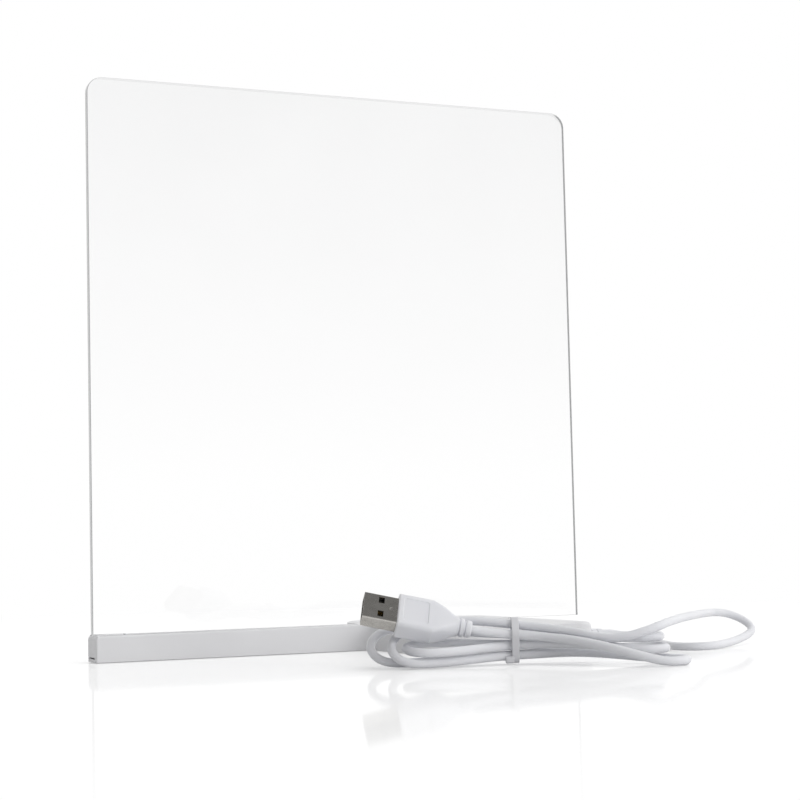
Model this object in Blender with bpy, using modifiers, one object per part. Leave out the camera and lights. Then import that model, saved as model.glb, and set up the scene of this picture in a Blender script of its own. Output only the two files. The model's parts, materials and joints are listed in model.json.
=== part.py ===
"""LED writing board: a clear plate that stands in a lit base and lifts out, with its lead tied in a hank.

Metres, +Z up. The origin is on the table, below the middle of the base and plate.
"""

import math
from dataclasses import dataclass

import bmesh
import bpy
from mathutils import Matrix, Vector

# Clear plate, with a tongue that stands in the base
TOTAL_HEIGHT = 0.2148
PLATE_WIDTH = 0.200
PLATE_THICKNESS = 0.003
PLATE_CORNER = 0.006
PLATE_EDGE_ROUND = 0.0003
TONGUE_INSET = 0.012
TONGUE_GAP = 0.007
PLATE_SEAT = 0.0042
SLOT_CLEARANCE = 0.0002
SHOULDER_CLEARANCE = 0.0002

# Base housing, seen from above: a narrow bar that widens into a foot
BASE_TOP = 0.0098
BAR_DEPTH = 0.0115
FOOT_LEFT = 0.008
FOOT_RIGHT = 0.077
FRONT_REACH = 0.058
BACK_REACH = 0.042
THROAT_RADIUS = 0.006
LEFT_CORNER = 0.028
FRONT_RIGHT_CORNER = 0.008
BACK_RIGHT_CORNER = 0.012
TOP_ROUND = 0.0012
WALL = 0.0020
RIM = 0.0012
PLATE_Y = (FRONT_REACH - BACK_REACH) / 2
FRONT_Y = PLATE_Y - FRONT_REACH
BACK_Y = PLATE_Y + BACK_REACH
BAR_LEFT = -PLATE_WIDTH / 2
TONGUE_LEFT = BAR_LEFT + TONGUE_INSET
TONGUE_RIGHT = FOOT_RIGHT - TONGUE_GAP

# Bottom cover, pads and screws
PAD_PROUD = 0.0002
COVER_THICKNESS = 0.0015
FIT = 0.0003
CLOSE_FIT = 0.0002
PAD_RADIUS = 0.0036
PAD_THICKNESS = 0.0010
PAD_INSET = 0.010
END_PAD_INSET = 0.020
PAD_PLACES = (
    (BAR_LEFT + END_PAD_INSET, PLATE_Y),
    (FOOT_LEFT + LEFT_CORNER, FRONT_Y + PAD_INSET),
    (FOOT_RIGHT - PAD_INSET, FRONT_Y + PAD_INSET),
    (FOOT_RIGHT - LEFT_CORNER, BACK_Y - PAD_INSET),
)
SCREW_INSET = 0.009
END_SCREW_INSET = 0.006
SCREW_SPREAD = 0.026
SCREW_LEFT = FOOT_LEFT + 2 * SCREW_INSET
SCREW_RIGHT = FOOT_RIGHT - SCREW_INSET
SCREW_PLACES = (
    (BAR_LEFT + END_SCREW_INSET, PLATE_Y),
    (SCREW_LEFT, PLATE_Y - SCREW_SPREAD),
    (SCREW_RIGHT, PLATE_Y - SCREW_SPREAD),
    (SCREW_LEFT, PLATE_Y + SCREW_SPREAD),
    (SCREW_RIGHT, PLATE_Y + SCREW_SPREAD),
)
SCREW_HEAD_RADIUS = 0.0019
SCREW_HEAD_HEIGHT = 0.0007
SCREW_SHAFT_RADIUS = 0.0010
SCREW_LENGTH = 0.0052
SCREW_SINK = 0.0009
DRIVE_WIDTH = 0.0005
DRIVE_DEPTH = 0.0003
DRIVE_SHARE = 0.62
BOSS_RADIUS = 0.0028
PRY_WIDTH = 0.007
PRY_HEIGHT = 0.0006

# Rail under the top, which holds the tongue and lets the light up
RAIL_WIDTH = 0.0070
RAIL_BOTTOM = 0.0034
WINDOW_WIDTH = 0.0022
RIB_THICKNESS = 0.0012
RIB_BOTTOM = 0.0052
RIB_SHARES = (0.46, 0.71)

# Light board
BOARD_THICKNESS = 0.0010
BOARD_END_GAP = 0.0005
BOARD_LEFT = TONGUE_LEFT + BOARD_END_GAP
BOARD_RIGHT = TONGUE_RIGHT - BOARD_END_GAP
BOARD_WIDTH = 0.0052
TAB_WIDTH = 0.0110
TAB_LEFT = BOARD_RIGHT - TAB_WIDTH
TAB_REACH = 0.0130
LED_COUNT = 10
LED_PITCH = (BOARD_RIGHT - BOARD_LEFT) / LED_COUNT
LED_LENGTH = 0.0030
LED_WIDTH = 0.0014
LED_HEIGHT = 0.0006
SOLDER_GAP = 0.0001
RESISTOR_LENGTH = 0.0032
RESISTOR_WIDTH = 0.0016
RESISTOR_PITCH = 0.0030
LEAD_DIAMETER = 0.0011
LEAD_SPREAD = 0.0010
LEAD_LEVEL = 0.0028
LEAD_BEND = 0.004

# Cord
CORD_DIAMETER = 0.0029
EXIT_INSET = 0.016
EXIT_Y = FRONT_Y + EXIT_INSET
EXIT_Z = 0.0044
RELIEF_REACH = 0.0102
RELIEF_ROOT_RADIUS = 0.0024
RELIEF_TIP_RADIUS = 0.0019
RELIEF_NECK_RADIUS = 0.0020
RELIEF_FLANGE_RADIUS = 0.0023
RELIEF_FLANGE_LENGTH = 0.0012
RELIEF_GROOVE = 0.0004
RELIEF_GROOVES = 3
CORD_STEP = 0.0068

# Hank: the runs lie in layers at the tie, and the folds at both ends open out
TIE_CENTRE = (0.0112, -0.1083)
HANK_TURN = math.radians(-24.3)
LAY_PITCH = 0.00333
WAIST_HEIGHT = 0.0030
FOLD_RADIUS = 0.009
PASS_STEPS = 7
FOLD_STEPS = 5
SLOPE_POWER = 1.4
SPREAD_SHARE = 1.05
LAST_RUN_RISE = 0.0020
GAP_SKIP = 0.014

# Tie
TIE_STRAP = 0.0006
TIE_CLEARANCE = 0.0004
TIE_WIDTH = 0.0024
TIE_KNOT = (0.0042, 0.0016, 0.0030)
KNOT_SHARE = 0.6

# Plug, along its own axis from the cord to the tip
PLUG_RISE = math.radians(12.5)
PLUG_SWING = math.radians(5.0)
PLUG_ROLL = math.radians(50.0)
PLUG_LEAD = -0.0145
LEAD_FORWARD = 0.0014
LEAD_RISE = 0.0022
NEAR_SHARE = 0.5
MOULD_LENGTH = 0.0249
MOULD_WIDTH = 0.0151
MOULD_THICKNESS = 0.0070
MOULD_ROUND = 0.0016
TAPER_START = 0.0115
BOOT_LENGTH = 0.0049
BOOT_RADIUS = 0.0027
BOOT_ROOT_RADIUS = 0.0032
BOOT_GROOVE = 0.0005
BOOT_GROOVE_DEPTH = 0.0006
BOOT_GROOVE_SHARES = (0.45, 0.84)
PANEL_LENGTH = 0.0085
PANEL_WIDTH = 0.0105
PANEL_DEPTH = 0.00025
SHELL_WIDTH = 0.0120
SHELL_THICKNESS = 0.0045
SHELL_WALL = 0.0003
SHELL_LENGTH = 0.0130
SHELL_SHOWN = 0.0113
SHELL_WINDOW = (0.0019, 0.0027)
WINDOW_SPREAD = 0.0064
WINDOW_FROM_TIP = 0.0058
TONGUE_WIDTH = 0.0108
TONGUE_THICKNESS = 0.0018
TONGUE_LENGTH = 0.0112
CONTACT_WIDTH = 0.0010
CONTACT_THICKNESS = 0.0003
CONTACT_LENGTH = 0.0074
CONTACT_PITCHES = (-0.0035, -0.0010, 0.0010, 0.0035)

OVERRUN = 0.001
ARC_STEPS = 7
CURVE_STEPS = 12
WELD = 0.00001
FLAT_ANGLE = math.radians(0.5)
SHARP_ANGLE = math.radians(50.0)


@dataclass(frozen=True)
class Run:
    """One run of cord: its column and layer in the tie, in pitches, and its lift to the right of it."""

    column: float
    layer: float
    lift: float


@dataclass(frozen=True)
class Fold:
    """One fold of the hank: how far it reaches, where its middle lies and how it leans."""

    reach: float
    toward: float
    height: float
    lean: float


RUNS = (
    Run(1.4, 2.0, 0.00099),
    Run(0.5, 0.0, 0.00152),
    Run(-0.5, 2.0, -0.00041),
    Run(-0.5, 1.0, 0.00003),
    Run(0.5, 1.0, 0.00117),
    Run(-0.5, 0.0, 0.00037),
    Run(0.5, 3.0, 0.0),
)
FOLDS = (
    Fold(0.0540, 0.0200, 0.0016, math.radians(0.0)),
    Fold(-0.0410, 0.0090, 0.0069, math.radians(-36.5)),
    Fold(0.0475, 0.0060, 0.0085, math.radians(0.0)),
    Fold(-0.0362, 0.0075, 0.0063, math.radians(172.0)),
    Fold(0.0486, 0.0110, 0.0050, math.radians(0.0)),
    Fold(-0.0478, 0.0025, 0.0069, math.radians(-36.5)),
)

# The last run's way out of the tie, as (along, toward, height) from its place there
RUN_OUT = ((0.0095, 0.0036, -0.0010), (0.0190, 0.0100, -0.0025))

# The free stretch from the hank to the base, by hand: over the hank's end, round, and back along the table
CORD_ROUTE = (
    (0.0276, -0.1327, 0.0092),
    (0.0310, -0.1370, 0.0088),
    (0.0358, -0.1404, 0.0094),
    (0.0412, -0.1422, 0.0109),
    (0.0468, -0.1410, 0.0122),
    (0.0530, -0.1355, 0.0128),
    (0.0620, -0.1248, 0.0128),
    (0.0735, -0.1120, 0.0129),
    (0.0880, -0.0970, 0.0129),
    (0.1035, -0.0820, 0.0128),
    (0.1178, -0.0685, 0.0121),
    (0.1276, -0.0604, 0.0109),
    (0.1342, -0.0579, 0.0089),
    (0.1366, -0.0601, 0.0068),
    (0.1341, -0.0648, 0.0049),
    (0.1277, -0.0708, 0.0033),
    (0.1184, -0.0780, 0.0023),
    (0.1084, -0.0864, 0.0019),
    (0.0990, -0.0930, 0.0017),
    (0.0912, -0.0928, 0.0016),
    (0.0880, -0.0860, 0.0016),
    (0.0903, -0.0755, 0.0016),
    (0.0945, -0.0640, 0.0016),
    (0.0973, -0.0525, 0.0020),
    (0.0966, -0.0425, 0.0029),
    (0.0928, -0.0358, 0.0039),
)


@dataclass(frozen=True)
class Look:
    """Colour and surface of one material."""

    colour: tuple
    roughness: float
    metallic: float = 0.0


CLEAR = Look((0.93, 0.95, 0.97, 0.25), 0.05)
WHITE = Look((0.83, 0.83, 0.85, 1.0), 0.38)
COVER_WHITE = Look((0.78, 0.78, 0.80, 1.0), 0.5)
RUBBER = Look((0.62, 0.62, 0.63, 1.0), 0.8)
CORD_WHITE = Look((0.79, 0.79, 0.82, 1.0), 0.45)
TIE_WHITE = Look((0.74, 0.74, 0.77, 1.0), 0.5)
STEEL = Look((0.62, 0.60, 0.57, 1.0), 0.22, 1.0)
SCREW_STEEL = Look((0.55, 0.55, 0.56, 1.0), 0.35, 1.0)
BOARD_WHITE = Look((0.80, 0.82, 0.80, 1.0), 0.5)
LED_YELLOW = Look((0.93, 0.85, 0.42, 1.0), 0.3)
BLACK = Look((0.03, 0.03, 0.03, 1.0), 0.45)
RED = Look((0.65, 0.03, 0.03, 1.0), 0.45)
GOLD = Look((0.83, 0.62, 0.25, 1.0), 0.3, 1.0)


def material(name, look):
    """A new Principled material with the given look."""
    made = bpy.data.materials.new(name)
    made.use_nodes = True
    shader = made.node_tree.nodes["Principled BSDF"]
    shader.inputs["Base Color"].default_value = look.colour
    shader.inputs["Alpha"].default_value = look.colour[3]
    shader.inputs["Roughness"].default_value = look.roughness
    shader.inputs["Metallic"].default_value = look.metallic
    made.diffuse_color = look.colour
    return made


def collection(name, hidden=False):
    """A new collection under the scene's own."""
    made = bpy.data.collections.new(name)
    made.hide_render = hidden
    bpy.context.scene.collection.children.link(made)
    return made


def empty(name, place, parent=None):
    """An empty that stands for a frame or a joint."""
    made = bpy.data.objects.new(name, None)
    made.matrix_world = place
    PARTS.objects.link(made)
    if parent:
        made.parent = parent
        made.matrix_basis = place
    return made


def put(mesh, name, look=None, parent=None, place=None):
    """Makes an object of a mesh: a part if it has a look, or else a cutter."""
    made = bpy.data.objects.new(name, mesh)
    (PARTS if look else CUTTERS).objects.link(made)
    if look:
        mesh.materials.clear()
        mesh.materials.append(material(name, look))
    else:
        made.hide_render = True
        made.display_type = "WIRE"
    made.parent = parent
    if place:
        made.matrix_basis = place
    return made


def mesh_of(work, name):
    """The mesh of a bmesh, with its normals outward."""
    bmesh.ops.recalc_face_normals(work, faces=work.faces)
    mesh = bpy.data.meshes.new(name)
    work.to_mesh(mesh)
    work.free()
    return mesh


def box(name, low, high):
    """A box between two corners."""
    work = bmesh.new()
    bmesh.ops.create_cube(work, size=1.0)
    size = Vector(high) - Vector(low)
    bmesh.ops.scale(work, vec=size, verts=work.verts)
    bmesh.ops.translate(work, vec=Vector(low) + size / 2, verts=work.verts)
    return mesh_of(work, name)


def rod(name, centre, radius, low, high, sides=24):
    """An upright cylinder from one level to another."""
    work = bmesh.new()
    bmesh.ops.create_cone(
        work, cap_ends=True, segments=sides, radius1=radius, radius2=radius, depth=high - low
    )
    bmesh.ops.translate(work, vec=(centre[0], centre[1], (low + high) / 2), verts=work.verts)
    return mesh_of(work, name)


def flat(name, outline, low, high):
    """A flat piece of the given outline from one level to another."""
    curve = bpy.data.curves.new(name, "CURVE")
    curve.dimensions = "2D"
    curve.fill_mode = "BOTH"
    curve.extrude = (high - low) / 2
    spline = curve.splines.new("POLY")
    spline.points.add(len(outline) - 1)
    for point, (x, y) in zip(spline.points, outline):
        point.co = (x, y, 0.0, 1.0)
    spline.use_cyclic_u = True
    mesh = meshed(curve, name)
    mesh.transform(Matrix.Translation((0.0, 0.0, (low + high) / 2)))
    return mesh


def meshed(curve, name):
    """The closed mesh of a curve, with its caps welded and flat faces whole."""
    guide = bpy.data.objects.new(name, curve)
    CUTTERS.objects.link(guide)
    bpy.context.view_layer.update()
    graph = bpy.context.evaluated_depsgraph_get()
    mesh = bpy.data.meshes.new_from_object(guide.evaluated_get(graph))
    bpy.data.objects.remove(guide)
    work = bmesh.new()
    work.from_mesh(mesh)
    bmesh.ops.remove_doubles(work, verts=work.verts, dist=WELD)
    bmesh.ops.dissolve_limit(work, angle_limit=FLAT_ANGLE, verts=work.verts, edges=work.edges)
    bmesh.ops.recalc_face_normals(work, faces=work.faces)
    work.to_mesh(mesh)
    work.free()
    return mesh


def tube(name, points, radius, look, resolution=2):
    """A tube along points that are read from a smooth curve."""
    curve = bpy.data.curves.new(name, "CURVE")
    curve.dimensions = "3D"
    curve.bevel_depth = radius
    curve.bevel_resolution = resolution
    curve.use_fill_caps = True
    spline = curve.splines.new("POLY")
    spline.points.add(len(points) - 1)
    for point, place in zip(spline.points, points):
        point.co = (*place, 1.0)
    made = bpy.data.objects.new(name, curve)
    PARTS.objects.link(made)
    curve.materials.append(material(name, look))
    return made


def turned(name, profile, steps, look=None, parent=None, place=None):
    """A turned piece: a profile of (along, radius) about the local X axis."""
    mesh = bpy.data.meshes.new(name)
    points = [(x, 0.0, r) for x, r in profile]
    mesh.from_pydata(points, [(i, i + 1) for i in range(len(points) - 1)], [])
    made = put(mesh, name, look, parent, place)
    screw = made.modifiers.new("Turn", "SCREW")
    screw.axis = "X"
    screw.steps = steps
    screw.render_steps = steps
    screw.use_merge_vertices = True
    screw.merge_threshold = WELD
    screw.use_smooth_shade = True
    screw.use_normal_flip = True
    return made


def join(target, mesh):
    """Joins a mesh to a part."""
    boolean(target, mesh, "UNION")


def cut(target, mesh):
    """Cuts a mesh from a part."""
    boolean(target, mesh, "DIFFERENCE")


def boolean(target, mesh, operation):
    """Adds an exact Boolean of a mesh in the target's own frame."""
    tool = put(mesh, f"{target.name}_{mesh.name}")
    tool.parent = target.parent
    tool.matrix_basis = target.matrix_basis
    modifier = target.modifiers.new(mesh.name, "BOOLEAN")
    modifier.operation = operation
    modifier.solver = "EXACT"
    modifier.object = tool


def round_edges(target, width, segments, wanted):
    """Rounds the sharp edges whose two ends pass the test."""
    mesh = target.data
    work = bmesh.new()
    work.from_mesh(mesh)
    weights = work.edges.layers.float.new("bevel_weight_edge")
    for edge in work.edges:
        sharp = edge.is_manifold and edge.calc_face_angle() > SHARP_ANGLE
        if sharp and wanted(edge.verts[0].co, edge.verts[1].co):
            edge[weights] = 1.0
    work.to_mesh(mesh)
    work.free()
    bevel = target.modifiers.new("Round", "BEVEL")
    bevel.limit_method = "WEIGHT"
    bevel.width = width
    bevel.segments = segments


def smooth(target, angle=math.radians(35.0)):
    """Shades a part smoothly over its gentle edges."""
    for face in target.data.polygons:
        face.use_smooth = True
    target.data.set_sharp_from_angle(angle=angle)


def arc(x, y, radius, start, end, steps=ARC_STEPS):
    """Points of an arc, with its angles in degrees."""
    points = []
    for i in range(steps + 1):
        turn = math.radians(start + (end - start) * i / steps)
        points.append((x + radius * math.cos(turn), y + radius * math.sin(turn)))
    return points


def base_outline(inset):
    """The base seen from above, drawn in by the inset all round."""
    left = BAR_LEFT + inset
    half = BAR_DEPTH / 2 - inset
    foot_left, foot_right = FOOT_LEFT + inset, FOOT_RIGHT - inset
    front, back = FRONT_REACH - inset, BACK_REACH - inset
    throat = THROAT_RADIUS + inset
    corner = LEFT_CORNER - inset
    front_corner, back_corner = FRONT_RIGHT_CORNER - inset, BACK_RIGHT_CORNER - inset
    points = [(left, -half)]
    points += arc(foot_left - throat, -half - throat, throat, 90, 0)
    points += arc(foot_left + corner, -front + corner, corner, 180, 270, 2 * ARC_STEPS)
    points += arc(foot_right - front_corner, -front + front_corner, front_corner, 270, 360)
    points += arc(foot_right - back_corner, back - back_corner, back_corner, 0, 90)
    points += arc(foot_left + corner, back - corner, corner, 90, 180, 2 * ARC_STEPS)
    points += arc(foot_left - throat, half + throat, throat, 0, -90)
    points.append((left, half))
    return [(x, y + PLATE_Y) for x, y in points]


def make_plate():
    """The clear plate, on its slide: rounded above, with the tongue below."""
    slide = empty("plate_slide", Matrix.Translation((0.0, PLATE_Y, PLATE_SEAT)))
    half = PLATE_WIDTH / 2
    top = TOTAL_HEIGHT - PLATE_SEAT
    shoulder = BASE_TOP + SHOULDER_CLEARANCE - PLATE_SEAT
    outline = [(TONGUE_LEFT, 0.0), (TONGUE_RIGHT, 0.0), (TONGUE_RIGHT, shoulder), (half, shoulder)]
    outline += arc(half - PLATE_CORNER, top - PLATE_CORNER, PLATE_CORNER, 0, 90)
    outline += arc(-half + PLATE_CORNER, top - PLATE_CORNER, PLATE_CORNER, 90, 180)
    outline += [(-half, shoulder), (TONGUE_LEFT, shoulder)]
    mesh = flat("writing_plate", outline, -PLATE_THICKNESS / 2, PLATE_THICKNESS / 2)
    mesh.transform(Matrix.Rotation(math.radians(90.0), 4, "X"))
    plate = put(mesh, "writing_plate", CLEAR, slide)

    def on_rim(a, b):
        return abs(a.y - b.y) < WELD and max(a.z, b.z) > shoulder + WELD

    round_edges(plate, PLATE_EDGE_ROUND, 2, on_rim)
    return plate


def make_base():
    """The housing: one moulded shell with the plate's slot, the rail, ribs and screw bosses."""
    shell = put(flat("base_shell", base_outline(0.0), PAD_PROUD, BASE_TOP), "base_shell", WHITE)
    round_edges(shell, TOP_ROUND, 3, lambda a, b: min(a.z, b.z) > BASE_TOP - WELD)
    ceiling = BASE_TOP - WALL
    ledge = PAD_PROUD + COVER_THICKNESS + CLOSE_FIT
    cut(shell, flat("cavity", base_outline(WALL), -OVERRUN, ceiling))
    cut(shell, flat("rebate", base_outline(RIM), -OVERRUN, ledge))
    rail = RAIL_WIDTH / 2
    rail_left = BAR_LEFT + WALL / 2
    rail_right = FOOT_RIGHT - WALL / 2
    join_top = ceiling + OVERRUN / 2
    join(shell, box("rail", (rail_left, PLATE_Y - rail, RAIL_BOTTOM), (rail_right, PLATE_Y + rail, join_top)))
    for i, share in enumerate(RIB_SHARES):
        x = FOOT_LEFT + (FOOT_RIGHT - FOOT_LEFT) * share
        rib_low = (x - RIB_THICKNESS / 2, FRONT_Y + WALL / 2, RIB_BOTTOM)
        rib_high = (x + RIB_THICKNESS / 2, BACK_Y - WALL / 2, join_top)
        join(shell, box(f"rib_{i + 1}", rib_low, rib_high))
    boss_bottom = ledge + CLOSE_FIT
    for i, place in enumerate(SCREW_PLACES[1:]):
        join(shell, rod(f"boss_{i + 1}", place, BOSS_RADIUS, boss_bottom, join_top))
    slot = PLATE_THICKNESS / 2 + SLOT_CLEARANCE
    slot_low = (TONGUE_LEFT - FIT, PLATE_Y - slot, PLATE_SEAT - SOLDER_GAP)
    slot_high = (TONGUE_RIGHT + FIT, PLATE_Y + slot, BASE_TOP + OVERRUN)
    cut(shell, box("slot", slot_low, slot_high))
    window = WINDOW_WIDTH / 2
    window_low = (BOARD_LEFT + OVERRUN, PLATE_Y - window, RAIL_BOTTOM - OVERRUN)
    window_high = (BOARD_RIGHT - OVERRUN, PLATE_Y + window, PLATE_SEAT + OVERRUN)
    cut(shell, box("window", window_low, window_high))
    hole = SCREW_SHAFT_RADIUS + CLOSE_FIT
    for i, place in enumerate(SCREW_PLACES):
        cut(shell, rod(f"pilot_{i + 1}", place, hole, boss_bottom - OVERRUN, ceiling - OVERRUN, 16))
    gland = rod("gland", (0.0, 0.0), RELIEF_NECK_RADIUS + CLOSE_FIT, -WALL, WALL)
    gland.transform(Matrix.Rotation(math.radians(90.0), 4, "Y"))
    gland.transform(Matrix.Translation((FOOT_RIGHT - WALL / 2, EXIT_Y, EXIT_Z)))
    cut(shell, gland)
    pry = PRY_WIDTH / 2
    pry_low = (BAR_LEFT - OVERRUN, PLATE_Y - pry, ledge - PRY_HEIGHT)
    pry_high = (BAR_LEFT + RIM + CLOSE_FIT, PLATE_Y + pry, ledge)
    cut(shell, box("pry_notch", pry_low, pry_high))
    smooth(shell)
    return shell


def make_cover():
    """The flat cover under the base, with holes for its screws and recesses for the pads."""
    top = PAD_PROUD + COVER_THICKNESS
    outline = base_outline(RIM + FIT)
    cover = put(flat("bottom_cover", outline, PAD_PROUD, top), "bottom_cover", COVER_WHITE)
    for i, place in enumerate(SCREW_PLACES):
        hole = SCREW_SHAFT_RADIUS + CLOSE_FIT
        head = SCREW_HEAD_RADIUS + CLOSE_FIT
        cut(cover, rod(f"hole_{i + 1}", place, hole, -OVERRUN, top + OVERRUN, 16))
        cut(cover, rod(f"sink_{i + 1}", place, head, -OVERRUN, PAD_PROUD + SCREW_SINK))
    for i, place in enumerate(PAD_PLACES):
        recess = PAD_RADIUS + FIT
        cut(cover, rod(f"recess_{i + 1}", place, recess, -OVERRUN, PAD_THICKNESS + CLOSE_FIT))
    return cover


def make_pads():
    """Round pads that the base stands on."""
    for i, place in enumerate(PAD_PLACES):
        pad = put(rod("pad", place, PAD_RADIUS, 0.0, PAD_THICKNESS), f"pad_{i + 1}", RUBBER)
        smooth(pad)


def make_screws():
    """Screws that hold the cover, each with a cross in its head."""
    bottom = PAD_PROUD + SCREW_SINK - CLOSE_FIT - SCREW_HEAD_HEIGHT
    for i, place in enumerate(SCREW_PLACES):
        frame = Matrix.Translation((place[0], place[1], bottom))
        turn = frame @ Matrix.Rotation(math.radians(-90.0), 4, "Y")
        profile = (
            (SCREW_LENGTH, 0.0),
            (SCREW_LENGTH, SCREW_SHAFT_RADIUS),
            (SCREW_HEAD_HEIGHT, SCREW_SHAFT_RADIUS),
            (SCREW_HEAD_HEIGHT, SCREW_HEAD_RADIUS),
            (0.0, SCREW_HEAD_RADIUS),
            (0.0, 0.0),
        )
        screw = turned(f"screw_{i + 1}", profile, 16, SCREW_STEEL, None, turn)
        long, short = SCREW_HEAD_RADIUS * DRIVE_SHARE, DRIVE_WIDTH / 2
        cut(screw, box("slot_a", (-OVERRUN, -long, -short), (DRIVE_DEPTH, long, short)))
        cut(screw, box("slot_b", (-OVERRUN, -short, -long), (DRIVE_DEPTH, short, long)))


def make_board():
    """The light board in the bar, with a tab for its resistors, and the lights on it."""
    low = PAD_PROUD + COVER_THICKNESS + FIT
    top = low + BOARD_THICKNESS
    half = BOARD_WIDTH / 2
    outline = [
        (BOARD_LEFT, -half),
        (TAB_LEFT, -half),
        (TAB_LEFT, -TAB_REACH),
        (BOARD_RIGHT, -TAB_REACH),
        (BOARD_RIGHT, half),
        (BOARD_LEFT, half),
    ]
    outline = [(x, y + PLATE_Y) for x, y in outline]
    put(flat("led_board", outline, low, top), "led_board", BOARD_WHITE)
    first = (BOARD_LEFT + BOARD_RIGHT - (LED_COUNT - 1) * LED_PITCH) / 2
    level = top + SOLDER_GAP
    for i in range(LED_COUNT):
        x = first + i * LED_PITCH
        near = (x - LED_LENGTH / 2, PLATE_Y - LED_WIDTH / 2, level)
        far = (x + LED_LENGTH / 2, PLATE_Y + LED_WIDTH / 2, level + LED_HEIGHT)
        put(box("led", near, far), f"led_{i + 1}", LED_YELLOW)
    middle = (TAB_LEFT + BOARD_RIGHT) / 2
    row = PLATE_Y - (TAB_REACH + RAIL_WIDTH / 2) / 2
    for i in range(2):
        y = row + (i - 0.5) * RESISTOR_PITCH
        near = (middle - RESISTOR_LENGTH / 2, y - RESISTOR_WIDTH / 2, level)
        far = (middle + RESISTOR_LENGTH / 2, y + RESISTOR_WIDTH / 2, level + LED_HEIGHT)
        put(box("resistor", near, far), f"resistor_{i + 1}", BLACK)


def make_leads():
    """The two wires from the strain relief to the light board's tab."""
    start_x = FOOT_RIGHT - WALL - CLOSE_FIT - RELIEF_FLANGE_LENGTH - CLOSE_FIT
    edge_y = PLATE_Y - TAB_REACH - CLOSE_FIT
    for name, look, spread in (("lead_red", RED, LEAD_SPREAD), ("lead_black", BLACK, -LEAD_SPREAD)):
        lane = TAB_LEFT + LEAD_BEND + spread
        route = (
            (start_x, EXIT_Y + spread, EXIT_Z),
            (start_x - LEAD_BEND, EXIT_Y + spread, EXIT_Z),
            (lane, EXIT_Y + LEAD_BEND, LEAD_LEVEL),
            (lane, edge_y - LEAD_BEND, LEAD_LEVEL),
            (lane, edge_y, LEAD_LEVEL),
        )
        tube(name, even(through(route), LEAD_BEND / 2), LEAD_DIAMETER / 2, look)


def make_relief():
    """The tapered strain relief, held in the side wall by its flange, with ring grooves outside."""
    inside = -WALL - CLOSE_FIT
    outside = CLOSE_FIT
    profile = [
        (inside - RELIEF_FLANGE_LENGTH, 0.0),
        (inside - RELIEF_FLANGE_LENGTH, RELIEF_FLANGE_RADIUS),
        (inside, RELIEF_FLANGE_RADIUS),
        (inside, RELIEF_NECK_RADIUS),
        (outside, RELIEF_NECK_RADIUS),
        (outside, RELIEF_ROOT_RADIUS),
    ]
    pitch = RELIEF_REACH / (RELIEF_GROOVES + 1)
    for i in range(RELIEF_GROOVES):
        for offset, depth in ((-1, 0), (-1, 1), (1, 1), (1, 0)):
            x = pitch * (i + 1) + offset * RELIEF_GROOVE / 2
            share = x / RELIEF_REACH
            radius = RELIEF_ROOT_RADIUS + (RELIEF_TIP_RADIUS - RELIEF_ROOT_RADIUS) * share
            profile.append((x, radius - depth * RELIEF_GROOVE))
    profile += [(RELIEF_REACH, RELIEF_TIP_RADIUS), (RELIEF_REACH, 0.0)]
    place = Matrix.Translation((FOOT_RIGHT, EXIT_Y, EXIT_Z))
    relief = turned("strain_relief", profile, 20, CORD_WHITE, None, place)
    return relief


def ease(share):
    """Eases a share between 0 and 1, flat at both ends."""
    share = min(max(share, 0.0), 1.0)
    return share * share * (3 - 2 * share)


def arms(fold):
    """Where a fold begins and ends, as (toward, height)."""
    across = FOLD_RADIUS * math.cos(fold.lean)
    up = FOLD_RADIUS * math.sin(fold.lean)
    return (fold.toward + across, fold.height + up), (fold.toward - across, fold.height - up)


def turn_centre(fold):
    """How far along the hank a fold's round end has its centre."""
    return fold.reach - math.copysign(FOLD_RADIUS, fold.reach)


def waist(run):
    """A run's place in the tie, as (toward, height)."""
    return run.column * LAY_PITCH, WAIST_HEIGHT + run.layer * LAY_PITCH


def on_run(run, arm, reach, along):
    """A point between the tie and a fold's arm, as (along, toward, height)."""
    place, share = waist(run), abs(along / reach)
    across = ease(share * SPREAD_SHARE)
    up = share**SLOPE_POWER if reach > 0 else ease(share)
    lift = run.lift if reach > 0 else 0
    toward = place[0] + (arm[0] - place[0]) * across
    return along, toward, place[1] + (arm[1] - place[1]) * up + lift * math.sin(math.pi * share) ** 2


def hank_controls():
    """Control points of the whole hank, from the plug to the run out, as (along, toward, height)."""
    points = lead_in()
    for i, run in enumerate(RUNS):
        place = waist(run)
        before = (turn_centre(FOLDS[i - 1]), arms(FOLDS[i - 1])[1]) if i else None
        after = (turn_centre(FOLDS[i]), arms(FOLDS[i])[0]) if i < len(FOLDS) else None
        if before and after:
            for step in range(PASS_STEPS):
                along = before[0] + (after[0] - before[0]) * step / (PASS_STEPS - 1)
                reach, arm = before if along * before[0] > 0 else after
                points.append(on_run(run, arm, reach, along))
        elif after:
            for step in range(1, PASS_STEPS - 1):
                points.append(on_run(run, after[1], after[0], after[0] * step / (PASS_STEPS - 2)))
        else:
            for step in range(PASS_STEPS - 2):
                share = 1 - step / (PASS_STEPS - 3)
                along, toward, height = on_run(run, before[1], before[0], before[0] * share)
                points.append((along, toward, height + LAST_RUN_RISE * math.sin(math.pi * share)))
            points += [(s, place[0] + n, place[1] + z) for s, n, z in RUN_OUT]
        if after:
            points += fold_points(FOLDS[i])
    return points


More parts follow.
